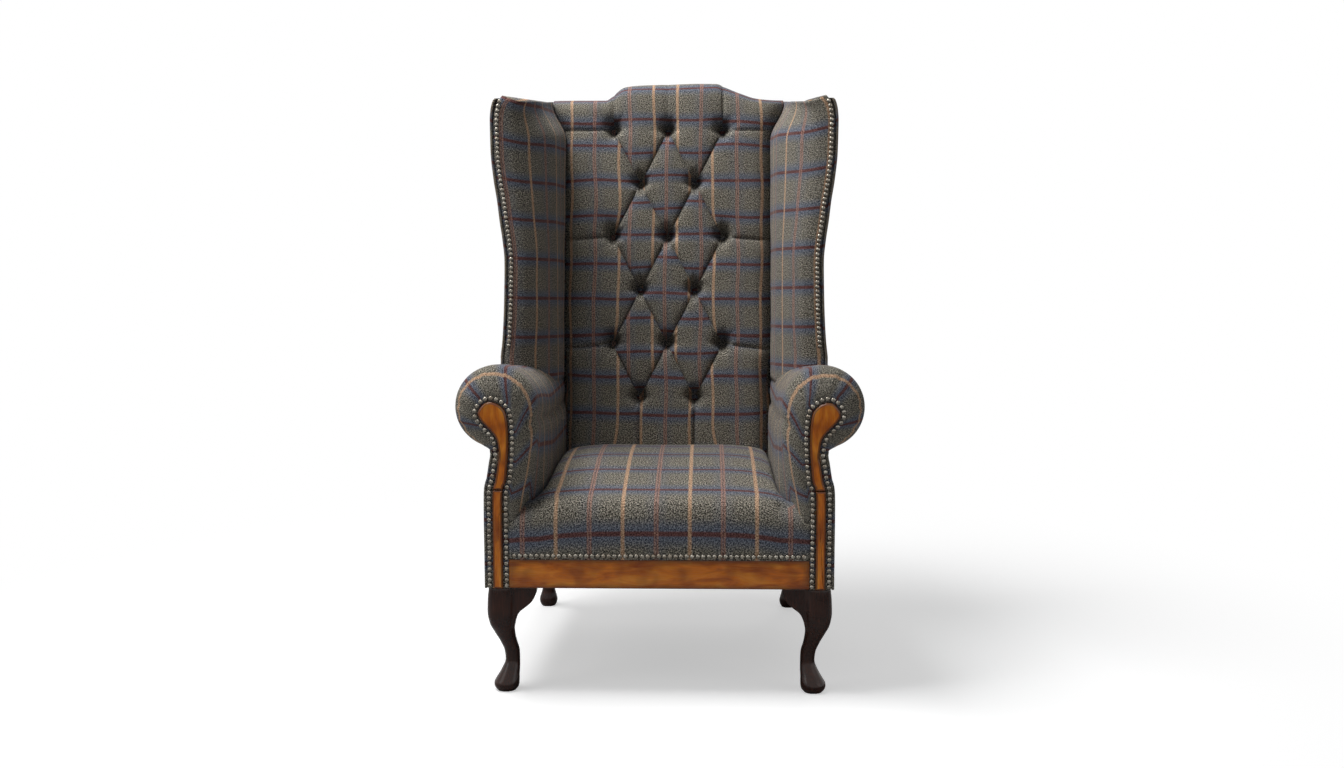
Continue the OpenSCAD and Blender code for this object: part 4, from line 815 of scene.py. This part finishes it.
def front_rail():
    """The show-wood rail, rounded at both front edges"""
    half = LOWER_X - POST_COVER_W
    top = LEG_H + RAIL_H
    xs = np.linspace(-half, half, 120)
    section = [(37.0, LEG_H + 0.4), (36.6, LEG_H), (7.0, LEG_H)]
    section += [(4.0 + 3.2 * back, LEG_H + 3.2 * up) for up, back in quarter(6)] + [(3.8, 236.0)]
    section += [(4.0 + 2.4 * back, top - 2.4 * down) for back, down in quarter(6)]
    s = np.array(section + [(36.6, top), (37.0, top - 0.4)])
    p = np.array([[[x, FRONT_Y + d, z] for d, z in s] for x in xs])
    # Darker towards the top and bottom edges and the ends: partly burnished finish, partly painted shade
    edge_wear_and_shade = unit(np.minimum(s[:, 1] - LEG_H, top - s[:, 1]) / 15.0)
    end = np.clip((half - np.abs(xs)) / 26.0, 0.25, 1)
    w = looped(1000 * np.minimum(edge_wear_and_shade[None], end[:, None]))
    maps = {"grain": closed_map(p, along(s)[None], xs[:, None]), "edge_wear_and_shade": np.stack([w, w], 2)}
    dressed(grid_piece("front_rail_form", p, maps, HONEY), "front_rail")


# Arms
FACE_N, ROLL_N = 20, 60
ROLL_ARC = np.array([[ROLL_X + ROLL_R * math.cos(math.radians(a)), ROLL_Z + ROLL_R * math.sin(math.radians(a))]
                     for a in np.linspace(198, -82, ROLL_N + 1)])
ARM_FOOT, FRONT_FOOT = 283.3, 338.0


def arm_section(foot, depth=0.0):
    """Section of the arm, from its foot inside, over the scroll, to its underside: it sinks towards the back"""
    face = spline([[227.6, foot], [227.6, mix(foot, ROLL_Z, 0.55)], [227.6, ROLL_Z - 0.8 * ROLL_R],
                   [229.2, ROLL_Z - 0.5 * ROLL_R], ROLL_ARC[0]], 8)
    section = np.vstack([evenly(face, FACE_N + 1)[:-1], ROLL_ARC])
    sunk = 30.0 * smooth([0, 50, 120, 328, 560, 800], [0, 0, 0.17, 0.9, 1, 1], depth)
    section[:, 1] -= sunk * unit((section[:, 1] - foot) / 180.0)
    return section


def flared(section, depth):
    """A section whose foot follows the widening seat"""
    face = section[:FACE_N + 1]
    low = unit((ROLL_Z - 20 - face[:, 1]) / (ROLL_Z - 20 - FRONT_FOOT))
    face[:, 0] += 1.2 * spread(depth) * low ** 1.2
    return section


def path_section(margin):
    """The outline of the facing, as the points of an arm section"""
    draw = grown(PATH, margin)
    inner = evenly(draw[INNER_FOOT:INNER_WAIST + 1], FACE_N + 1)[:-1]
    return np.vstack([inner, evenly(draw[INNER_WAIST:OUTER_WAIST + 1], ROLL_N + 1)])


def away_from(section, x, z):
    """Unit steps away from a centre"""
    away = section - np.array([x, z])
    return away / np.linalg.norm(away, axis=1)[:, None]


def arm_rear(ring):
    """Depth of the arm's rear end: the outside arm is behind its outer part, the back behind the rest"""
    return np.where(ring[:, 0] > 296.3, rear_depth(ring[:, 2]) - 5.4, pad_rear(ring[:, 2]))


# Where the cloth of each arm starts, along it and round it, and the hidden side of the arm
ARM_START = {"_left": (1.0, 20.0), "_right": (3.0, 26.0)}
HIDDEN = np.array([[306.1, 473.9], [270.0, 473.9], [262.0, 473.9], [262.0, 378.0], [262.0, ARM_FOOT]])
HIDDEN_FRONT = np.array([[300.5, 456.0], [305.0, 468.0], [293.0, 440.0], [297.0, 414.0], [295.5, 361.0]])
GATHERS = 34


def arm_pad(side):
    """The padded arm: cloth drawn in round the facing, rolled over its edge, and back along the arm"""
    full = flared(arm_section(FRONT_FOOT, 40.0), 47.0)
    draw = path_section(15.0)
    draw[:FACE_N, 1] -= 22.0 * (1 - np.arange(FACE_N) / FACE_N) ** 2
    n = len(full)
    around = along(full)
    gather = np.zeros(n)
    for k in range(GATHERS):
        place = mix(FACE_N - 6, n - 3, (k + 0.5 * hashed(k, 1.0)) / GATHERS)
        gather += (0.5 + hashed(k, 2.0)) * bell(np.arange(n), place, 0.75)
    rings = [at_depth(path_section(margin), depth)
             for margin, depth in ((0.4, 10.4), (0.4, 5.2), (6.5, 5.15), (12.0, 5.2))]
    for a in np.linspace(0, 90, 16):
        r = math.radians(a)
        flat = mix(draw, full, math.sin(r))
        pull = 2.9 * math.sin(2 * min(r * 1.15, math.pi / 2)) * gather
        ring = at_depth(flat - away_from(flat, ROLL_X - 4, ROLL_Z - 12) * pull[:, None],
                        CLOTH_DEPTH + 42.0 * (1 - math.cos(r)))
        ring[:, 1] += 0.5 * pull
        rings.append(ring)
    for d in np.concatenate([np.linspace(52, 330, 15), [345, 400, 470, 540, 590]]):
        section = flared(arm_section(FRONT_FOOT if d < POST_REAR - 0.5 else ARM_FOOT, d), d)
        swell = 0.9 * waves(around, np.full(n, d), 21.0, size=210) * np.exp(-d / 500)
        swell[:3] = 0
        ring = at_depth(section + away_from(section, ROLL_X, ROLL_Z) * swell[:, None] * 0.8, d)
        if d > 480:
            ring[:, 1] = FRONT_Y + np.minimum(d, arm_rear(ring))
        rings.append(ring)
    ring = at_depth(arm_section(ARM_FOOT, 800.0), 0)
    ring[:, 1] = FRONT_Y + arm_rear(ring)
    rings.append(ring)
    closed = []
    for k, ring in enumerate(rings):
        depth = ring[0, 1] - FRONT_Y
        hidden = HIDDEN_FRONT if depth < POST_REAR - 0.5 else HIDDEN
        back = at_depth(hidden, max(depth, 10.4) if k < 4 else depth)
        if k == len(rings) - 1:
            back[:, 1] = FRONT_Y + pad_rear(back[:, 2])
        closed.append(np.vstack([ring, back]))
    p = np.array(closed)
    step = np.median(np.linalg.norm(np.diff(p[:, :n], axis=0), axis=2), axis=1)
    u = np.concatenate([[0], np.cumsum(step)])[:, None]
    v = np.concatenate([around, around[-1] + 20 * np.arange(1, 6)])[None]
    u0, v0 = ARM_START[side]
    cloth("arm_pad", p, u + u0, v + v0, side)


# Wings. The table: share of the height, and share of the half width
WING = np.array([[0, 0.955], [0.06, 0.944], [0.216, 0.931], [0.371, 0.926], [0.448, 0.936], [0.524, 0.952],
                 [0.6, 0.965], [0.677, 0.983], [0.789, 0.9986], [0.903, 1.001], [0.94, 0.997], [0.976, 0.984],
                 [1, 0.96]])


def wing_outer(z):
    """Half the width across the front edges of the wings"""
    return WING_HALF * read_off(WING, unit((z - WING_FOOT) / (WING_TOP - WING_FOOT)))[0]


def wing_side(z, depth):
    """Half the width across the wings, narrowing to the back"""
    return mix(wing_outer(z), BACK_HALF, unit((depth - WING_FRONT) / (rear_depth(z) - WING_FRONT)))


def wing_crown(depth):
    """Height of the wing's top, rising to the back"""
    return WING_TOP + 13.3 * unit((depth - WING_FRONT) / (pad_depth(WING_TOP) - WING_FRONT))


def wing_z(depth, level):
    return mix(ROLL_Z + 0.3, wing_crown(depth), level)


LEVELS = np.concatenate([np.linspace(0, 0.88, 56), 1 - 0.12 * np.cos(np.linspace(0, math.pi / 2, 22))[1:]])


# Plan of the front of a wing: how far in from its outside, and how far back from its front
WING_PLAN = np.array([[0, 5], [3, 1.6], [8, 0], [17, 0], [28, 3], [39, 9], [50, 24], [61, 45], [70, 68],
                      [78, 98], [86, 128], [90, 160]])
FIXED_IN = 34.0

# Where the plaid of each wing starts: cloth before its first rust stripe, and height of a red line
WING_START = {"_left": (-19.0, 1072.0), "_right": (46.0, 1095.0)}


def wing_pad(side):
    """The inside of a wing, round its front edge and along to the back"""
    plan = spline(WING_PLAN, 5)
    rest = 1 - plan[:, 0] / WING_PLAN[-1, 0]
    rings = []
    for level in LEVELS:
        z, rear_z = wing_z(WING_FRONT, level), wing_z(CHAIR_DEPTH, level)
        rear = pad_rear(rear_z)
        turn = max(0.0, (level - 0.9) / 0.1)
        narrow = 3.0 * turn ** 3
        outer = wing_outer(z) - PANEL_T - 0.9 - narrow
        join = [max(232.0, back_side(rear_z)) + 0.6, pad_depth(rear_z) + 14.7]
        reach = outer - join[0]
        inward = np.where(plan[:, 0] < FIXED_IN, plan[:, 0],
                          FIXED_IN + (plan[:, 0] - FIXED_IN) / 56.0 * (reach - 37.0))
        inward = mix(inward, 20.0, 0.1 * turn ** 2 * rest)
        front = np.stack([outer - inward, WING_FRONT + (plan[:, 1] + 3.0 * turn ** 2 * rest)], 1)
        front = np.vstack([front, mix(front[-1], np.array(join), np.linspace(0, 1, 15)[1:, None])])
        fall = 13.0 * unit(level - 0.5) * 2 * smooth([0, 0.25, 0.55, 1], [0, 0.55, 1, 0.6],
                                                            unit((outer - front[:, 0]) / reach))
        fall *= 1 - 0.75 * unit((front[:, 1] - 500) / 150)
        ring = np.stack([front[:, 0], FRONT_Y + front[:, 1], wing_z(front[:, 1], level) - fall], 1)
        tail = [[join[0] + PANEL_T, FRONT_Y + rear, rear_z]]
        for share in (1, 0.6, 0.3):
            d = mix(WING_FRONT, rear, share)
            z = wing_z(d, level)
            tail.append([wing_side(z, d) - PANEL_T - 1.2 - narrow, FRONT_Y + d, z])
        rings.append(np.vstack([ring, tail]))
    p = np.array(rings)
    p[:, :, 0] += 0.8 * waves(p[:, :, 1], p[:, :, 2], 31.0, size=190) * (p[:, :, 0] < 300)
    u = along(p[30])[None]
    u0, v0 = WING_START[side]
    v = (p[:, 10, 2][:, None] + 0.06 * u - v0) * 85 / 82
    cloth("wing_pad", p, u + u0, v, side)


def outside_wing(side):
    """The outer panel of a wing"""
    top = SHOULDER - 12.0
    steps = [(s, 0.0) for s in np.linspace(0, 1, 14)] + [(s, 4.7) for s in np.linspace(1, 0, 6)]
    rings = []
    for level in LEVELS:
        far = rear_depth(min(wing_z(CHAIR_DEPTH, level), top)) - PANEL_T
        ring = []
        for share, inset in steps:
            d = mix(WING_FRONT + 0.3, far, share)
            z = wing_z(d, level)
            lid = wing_crown(d) - PANEL_T - 2.0 * math.exp((WING_FRONT - d) / 30.0)
            ring.append([wing_side(z, d) - inset, FRONT_Y + d, min(z, lid, top)])
        rings.append(ring)
    p = np.array(rings)
    cloth("outside_wing", p, p[:, :, 1] - FRONT_Y + 20, p[:, :, 2], side)


def outside_arm(side):
    """The outer panel of an arm, from under its roll to the foot"""
    n = 40
    outer, inner = (evenly(grown(PATH[OUTER_WAIST:], margin), n) for margin in (17.6, 12.6))
    outer[-1, 1] = inner[-1, 1] = LEG_H
    rows = []
    for depth in (5.2, 6.6, 9.0, 20.0, POST_REAR):
        section = np.vstack([outer, inner[::-1]])
        section[:n, 0] -= 1.4 * max(0.0, 1 - (depth - CLOTH_DEPTH) / 3.8) ** 2
        rows.append(at_depth(section, depth))
    last = rows[-1]
    rear = last.copy()
    rear[:, 0] = np.where(np.arange(2 * n) < n, BACK_HALF, BACK_HALF - 4.7)
    rear[:, 1] = FRONT_Y + rear_depth(last[:, 2]) - PANEL_T
    for t in np.linspace(0, 1, 16)[1:]:
        ring = mix(last, rear, t)
        ring[:n, 0] += 1.6 * math.sin(math.pi * t) * np.sin(math.pi * np.linspace(0, 1, n)) ** 0.6
        rows.append(ring)
    p = np.array(rows)
    cloth("outside_arm", p, p[:, :, 1] - FRONT_Y + 10, p[:, :, 2], side)


def outside_back():
    """The rear panel"""
    xs = np.linspace(-1, 1, 81) * BACK_HALF
    rows = []
    for x in xs:
        top = crest_height(x) - 12.0
        zs = np.linspace(LEG_H, top, 60)
        soft = np.sqrt(unit((zs - LEG_H) / 10) * unit((top - zs) / 10)
                       * min(1.0, (BACK_HALF - abs(x)) / 10))
        back = rear_depth(zs) - 2.2 * (1 - np.minimum(soft, 1.0))
        rows.append([[x, FRONT_Y + d, z] for d, z in zip(back, zs)]
                    + [[x, FRONT_Y + rear_depth(z) - 4.7, z] for z in (top, LEG_H)])
    p = np.array(rows)
    cloth("outside_back", p, xs[:, None], p[:, :, 2])


def post_cloth(name, outline, edge, side):
    """Cloth drawn flat over the face of a post, with soft edges"""
    q, inwards = inside_of(outline, 120, 1)
    rings = [at_depth(q + inwards * edge * inset, CLOTH_DEPTH + edge * back) for inset, back in quarter(4)]
    p = np.array([at_depth(q, FACING_T)] + rings)
    piece = grid_piece(name + side, p, {"fabric": looped(p[:, :, [0, 2]])}, TWEED)
    dressed(piece, "post_cover" + side)


def post_covers(side):
    """Cloth on the face of the front post, on both sides of its facing"""
    low, outer = PATH[OUTER_WAIST:], grown(PATH[OUTER_WAIST:], POST_COVER_W)
    top = low[0, 1] - 2.0
    out = np.vstack([low[low[:, 1] <= top] + [0.3, 0], outer[outer[:, 1] <= top][::-1]])
    out[out[:, 1] < LEG_H + 0.01, 1] = LEG_H
    near, far = LOWER_X - POST_COVER_W, LOWER_X - 0.3
    inner = np.array([[near, LEG_H], [far, LEG_H], [far, LEG_H + RAIL_H], [near, LEG_H + RAIL_H]])
    post_cloth("post_cover_form", out, 1.4, side)
    post_cloth("post_cover_inner", inner, 1.0, side)


# Legs. Front: share of the height, lean, and shares of foot, ankle and knee width. Rear: share of the height,
# rake and half width
LEG = np.array([
    [0, 0, 0.7, 0, 0], [0.03, 0, 0.94, 0, 0], [0.065, 0, 1, 0, 0], [0.125, -0.06, 0.88, 0, 0],
    [0.2, -0.16, 0.3, 0.7, 0], [0.28, -0.22, 0, 1, 0], [0.36, -0.2, 0, 1, 0.02], [0.46, -0.08, 0, 0.85, 0.15],
    [0.55, 0.04, 0, 0.58, 0.42], [0.65, 0.14, 0, 0.2, 0.8], [0.76, 0.165, 0, 0, 1], [0.87, 0.15, 0, 0, 1],
    [1, 0.12, 0, 0, 0.96]])
REAR_LEG = np.array([[0, 1, 0.36], [0.03, 1, 0.46], [0.075, 1, 0.5], [0.13, 0.97, 0.43], [0.2, 0.92, 0.34],
                     [0.3, 0.82, 0.32], [0.45, 0.6, 0.36], [0.65, 0.33, 0.42], [0.85, 0.1, 0.48], [1, 0, 0.5]])
LEG_X, LEG_DEPTH = 304.84, 32.5
FOOT_X, FOOT_DEPTH = 295.53, 39.36
BACK_POST_X, REAR_LEG_DEPTH = 273.5, 622.5


def rounded(half, power):
    """A ring between a circle and a square, as its power says"""
    a = np.linspace(0, 2 * math.pi, 40, endpoint=False)
    c, s = np.cos(a), np.sin(a)
    r = (np.abs(c) ** power + np.abs(s) ** power) ** (-1 / power)
    return np.stack([half * r * c, half * r * s], 1)


def leg_mesh(rings):
    p = np.array(rings)
    rows, cols, _ = p.shape
    ends = [list(range(cols))[::-1], list(range((rows - 1) * cols, rows * cols))]
    return p.reshape(-1, 3), grid_quads(rows, cols)[2].tolist() + ends


def bracket(to_side):
    """The curved bracket between a knee and the rail beside it"""
    root, reach, drop, half = 0.2 * KNEE_W, 45.0, 0.31 * LEG_H, 0.275 * KNEE_W
    lobe = spline([[1, 0], [0.96, 0.22], [0.8, 0.46], [0.52, 0.64], [0.24, 0.8], [0.08, 1.04], [0, 1.3]], 4)
    curve = [[root, 0.0]] + [[-reach * a, -drop * b] for a, b in lobe] + [[root, -1.3 * drop]]
    n = len(curve)
    vertices = []
    for k in (-half, half):
        for a, z in curve:
            x, d = (k, KNEE_W / 2 - a) if to_side else (a - KNEE_W / 2, k)
            vertices.append([LEG_X + x, FRONT_Y + LEG_DEPTH + d, LEG_H + z])
    faces = [list(range(n)), list(range(2 * n - 1, n - 1, -1))]
    return np.array(vertices), faces + [[i, (i + 1) % n, n + (i + 1) % n, n + i] for i in range(n)]


def leg(part, meshes, passes, side):
    """One skin round some closed meshes, smoothed, with flat ends"""
    name = part + "_form" + side
    faces, base = [], 0
    for v, f in meshes:
        faces += [[i + base for i in face] for face in f]
        base += len(v)
    mesh = bpy.data.meshes.new(name)
    mesh.from_pydata(metres(name, np.vstack([v for v, _ in meshes])).tolist(), [], faces)
    piece = placed(name, mesh)
    bpy.context.view_layer.objects.active = piece
    piece.select_set(True)
    bpy.ops.object.mode_set(mode="EDIT")
    bpy.ops.mesh.select_all(action="SELECT")
    bpy.ops.mesh.normals_make_consistent(inside=False)
    bpy.ops.object.mode_set(mode="OBJECT")
    skin = piece.modifiers.new("skin", "REMESH")
    skin.mode, skin.voxel_size = "VOXEL", 0.0022
    soft = piece.modifiers.new("soft", "SMOOTH")
    soft.iterations, soft.factor = passes, 0.5
    for modifier in ("skin", "soft"):
        bpy.ops.object.modifier_apply(modifier=modifier)
    mesh = piece.data
    co = np.empty(len(mesh.vertices) * 3)
    mesh.vertices.foreach_get("co", co)
    z = co[2::3]
    z[:] = np.clip(z, 0.0, LEG_H * 0.001)
    z[z > (LEG_H - 1.2) * 0.001] = LEG_H * 0.001
    z[z < 0.0012] = 0.0
    mesh.vertices.foreach_set("co", co)
    mesh.polygons.foreach_set("use_smooth", [True] * len(mesh.polygons))
    mesh.materials.append(DARK)
    piece.select_set(False)
    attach(piece, "root")
    dressed(piece, part + side)


def legs(side):
    front, rear = [], []
    for s in np.linspace(0, 1, 61):
        lean, foot, ankle, knee = read_off(LEG, s)
        shift = FOOT_W * lean
        q = rounded((FOOT_W * foot + ANKLE_W * ankle + KNEE_W * knee) / 2, mix(2, 2.8, s))
        front.append([[FOOT_X + shift + a, FRONT_Y + FOOT_DEPTH - shift + b, LEG_H * s] for a, b in q])
        rake, width = read_off(REAR_LEG, s)
        q = rounded(width * mix(REAR_FOOT_W, REAR_LEG_W, unit((s - 0.15) / 0.1)), mix(2, 5, s))
        rear.append([[BACK_POST_X + 0.2 * REAR_SPLAY * rake + a,
                      FRONT_Y + REAR_LEG_DEPTH + REAR_SPLAY * rake + b, LEG_H * s] for a, b in q])
    leg("front_leg", [leg_mesh(front), bracket(False), bracket(True)], 7, side)
    leg("rear_leg", [leg_mesh(rear)], 4, side)


NAIL_HEAD = [(0.02, 0.0), (1.5, 0.12), (2.8, 0.5), (3.8, 1.15), (4.4, 1.95), (4.6, 2.7), (4.45, 3.2)]
NAIL_PITCH, NAIL_MARGIN = 10.5, 6.72


def nail_heads(name, node, points, depth):
    """Domed heads, each a little different, set close along a path"""
    sides = 12
    head, quads = turned(NAIL_HEAD, sides)
    closed = list(quads) + [np.arange(len(head) - sides, len(head)), np.arange(sides)[::-1]]
    vertices, faces = [], []
    for k, (x, z) in enumerate(points):
        size = 0.98 + 0.05 * hashed(k, 1.0)
        dx, dz = (0.5 * (hashed(k, salt) - 0.5) for salt in (2.0, 3.0))
        tip_x, tip_z = (0.10 * (hashed(k, salt) - 0.5) for salt in (4.0, 5.0))
        px, pz = head[:, 0] * size, head[:, 2] * size
        vertices.append(np.stack([x + dx + px, FRONT_Y + depth - 3.2 + head[:, 1] + tip_x * px + tip_z * pz,
                                  z + dz + pz], 1))
        faces += [f + k * len(head) for f in closed]
    dressed(make_piece(name, np.vstack(vertices), faces, {}, NAIL), node)


def spaced(path, pitch):
    """Points in the middle of equal steps, each near the pitch"""
    length = along(path)[-1]
    count = int(length // pitch)
    return points_at(path, length * (np.arange(count) + 0.5) / count)


def nails(side):
    edge = spaced(grown(PATH, NAIL_MARGIN), NAIL_PITCH)
    nail_heads("facing_nail_heads" + side, "facing_nails" + side, edge, 5.05)
    zs = np.linspace(638.1, 1148.9, 60)
    edge = spaced(np.stack([wing_outer(zs) - 14.4, zs], 1), 9.4)
    nail_heads("wing_nail_heads" + side, "wing_nails" + side, edge, 325.8)


def dust_cover():
    """Black cloth stretched under the seat frame, cut round the legs"""
    first, last, half, corner = 23.5, 631.5, 281.0, 97.0
    us = np.linspace(-1, 1, 41)
    rows = []
    for t in np.linspace(0, 1, 41):
        depth = mix(first, last, t)
        near = min(depth - first, last - depth)
        width = half - max(0.0, corner - near)
        sag = 1.5 * unit(1 - us ** 2) * math.sin(math.pi * t)
        rows.append([[u * width, FRONT_Y + depth, 204.6 - s] for u, s in zip(us, sag)])
    top = np.array(rows)
    low = top[:, ::-1].copy()
    low[:, :, 2] -= 0.8
    p = np.concatenate([top, low], 1)
    piece = grid_piece("dust_cover_form", p, {"fabric": closed_map(p, p[:, :, 0], p[:, :, 1])}, BLACK)
    dressed(piece, "dust_cover")


# Putting the chair together
for subpart in frame["record"]["subparts"]:
    for slot in frame["nodes"][subpart["node"]].material_slots:
        slot.material = SLOTS[subpart["material_slot"]]

for make in (seat_cover, back_cover, back_buttons, outside_back, front_rail, dust_cover):
    make()
for side in ("_right", "_left"):
    for make in (facings, arm_pad, wing_pad, outside_wing, outside_arm, post_covers, legs, nails):
        make(side)
half = LOWER_X - NAIL_MARGIN - NAIL_PITCH
rail_line = np.array([[-half, 271.1], [half, 271.1]])
nail_heads("rail_nail_heads", "front_rail_nails", spaced(rail_line, NAIL_PITCH), 2.5)

# The floor: grey near the chair, where shadows fall, and white farther away
g = Graph("studio_floor", Roughness=0.9, Specular_IOR_Level=0.0)
seen = g.add("ShaderNodeLightPath").outputs["Is Camera Ray"]
grit = g.times(g.noise(g.place(), 3.0, 2.0, 0.5), 0.1)
g.finish(g.mix(seen, (190, 190, 190), g.mix(grit, (225, 225, 225), (220, 220, 220))))
lift = g.glow("ShaderNodeEmission", g.times(seen, 0.484))
lit = g.filled(g.add("ShaderNodeAddShader"), g.bsdf.outputs[0], lift)
away = g.add("ShaderNodeVectorMath", operation="LENGTH")
g.link(g.place(), away.inputs[0])
fade = g.times(g.span(away.outputs["Value"], 0.6, 1.75), seen)
g.link(g.mix_shader(fade, lit, g.glow("ShaderNodeEmission", 1.0)), g.out.inputs[0])
mesh = bpy.data.meshes.new("studio_floor")
mesh.from_pydata([(-12, -12, 0), (12, -12, 0), (12, 12, 0), (-12, 12, 0)], [], [(0, 1, 2, 3)])
mesh.materials.append(g.mat)
floor = placed("studio_floor", mesh)

# The surroundings: white where they are seen or mirrored, a faint blue light otherwise
world = bpy.data.worlds.new("studio")
bpy.context.scene.world = world
world.use_nodes = True
w = Nodes(world.node_tree)
ray = w.add("ShaderNodeLightPath").outputs
shown = w.math("MAXIMUM", ray["Is Camera Ray"], ray["Is Glossy Ray"])
shown = w.math("MAXIMUM", shown, ray["Is Transmission Ray"])
dome = w.glow("ShaderNodeBackground", 0.12, [0.96, 0.98, 1.0, 1.0])
w.link(w.mix_shader(shown, dome, w.glow("ShaderNodeBackground", 1.0)), w.add("ShaderNodeOutputWorld").inputs[0])

for name, place, target, size, power in (
        ("top_softbox", (-0.95, -0.25, 3.0), (0.0, 0.0, 0.5), (1.5, 1.4), 79.0),
        ("left_softbox", (-2.7, -1.5, 1.9), (0.0, 0.0, 0.6), (1.4, 1.8), 13.0),
        ("right_fill", (2.6, -1.6, 1.5), (0.0, 0.0, 0.6), (1.4, 1.8), 5.0),
        ("rear_light", (0.3, 2.4, 2.4), (0.0, 0.2, 0.7), (2.2, 1.4), 12.0)):
    lamp = bpy.data.lights.new(name, "AREA")
    lamp.shape, lamp.energy = "RECTANGLE", power
    lamp.size, lamp.size_y = size
    light = placed(name, lamp)
    light.location = place
    way = np.array(target) - np.array(place)
    light.rotation_euler = (math.atan2(math.hypot(way[0], way[1]), -way[2]), 0.0,
                            math.atan2(way[1], way[0]) - math.pi / 2)

lens = bpy.data.cameras.new("view")
lens.sensor_width, lens.lens = 36.0, 38.98
camera = placed("view", lens)
camera.location = (0.08948, -3.08615, 0.89301)
camera.rotation_euler = (math.pi / 2 - 0.1088, 0.0, 0.0240)
bpy.context.scene.camera = camera
bpy.context.scene.view_settings.view_transform = "Standard"
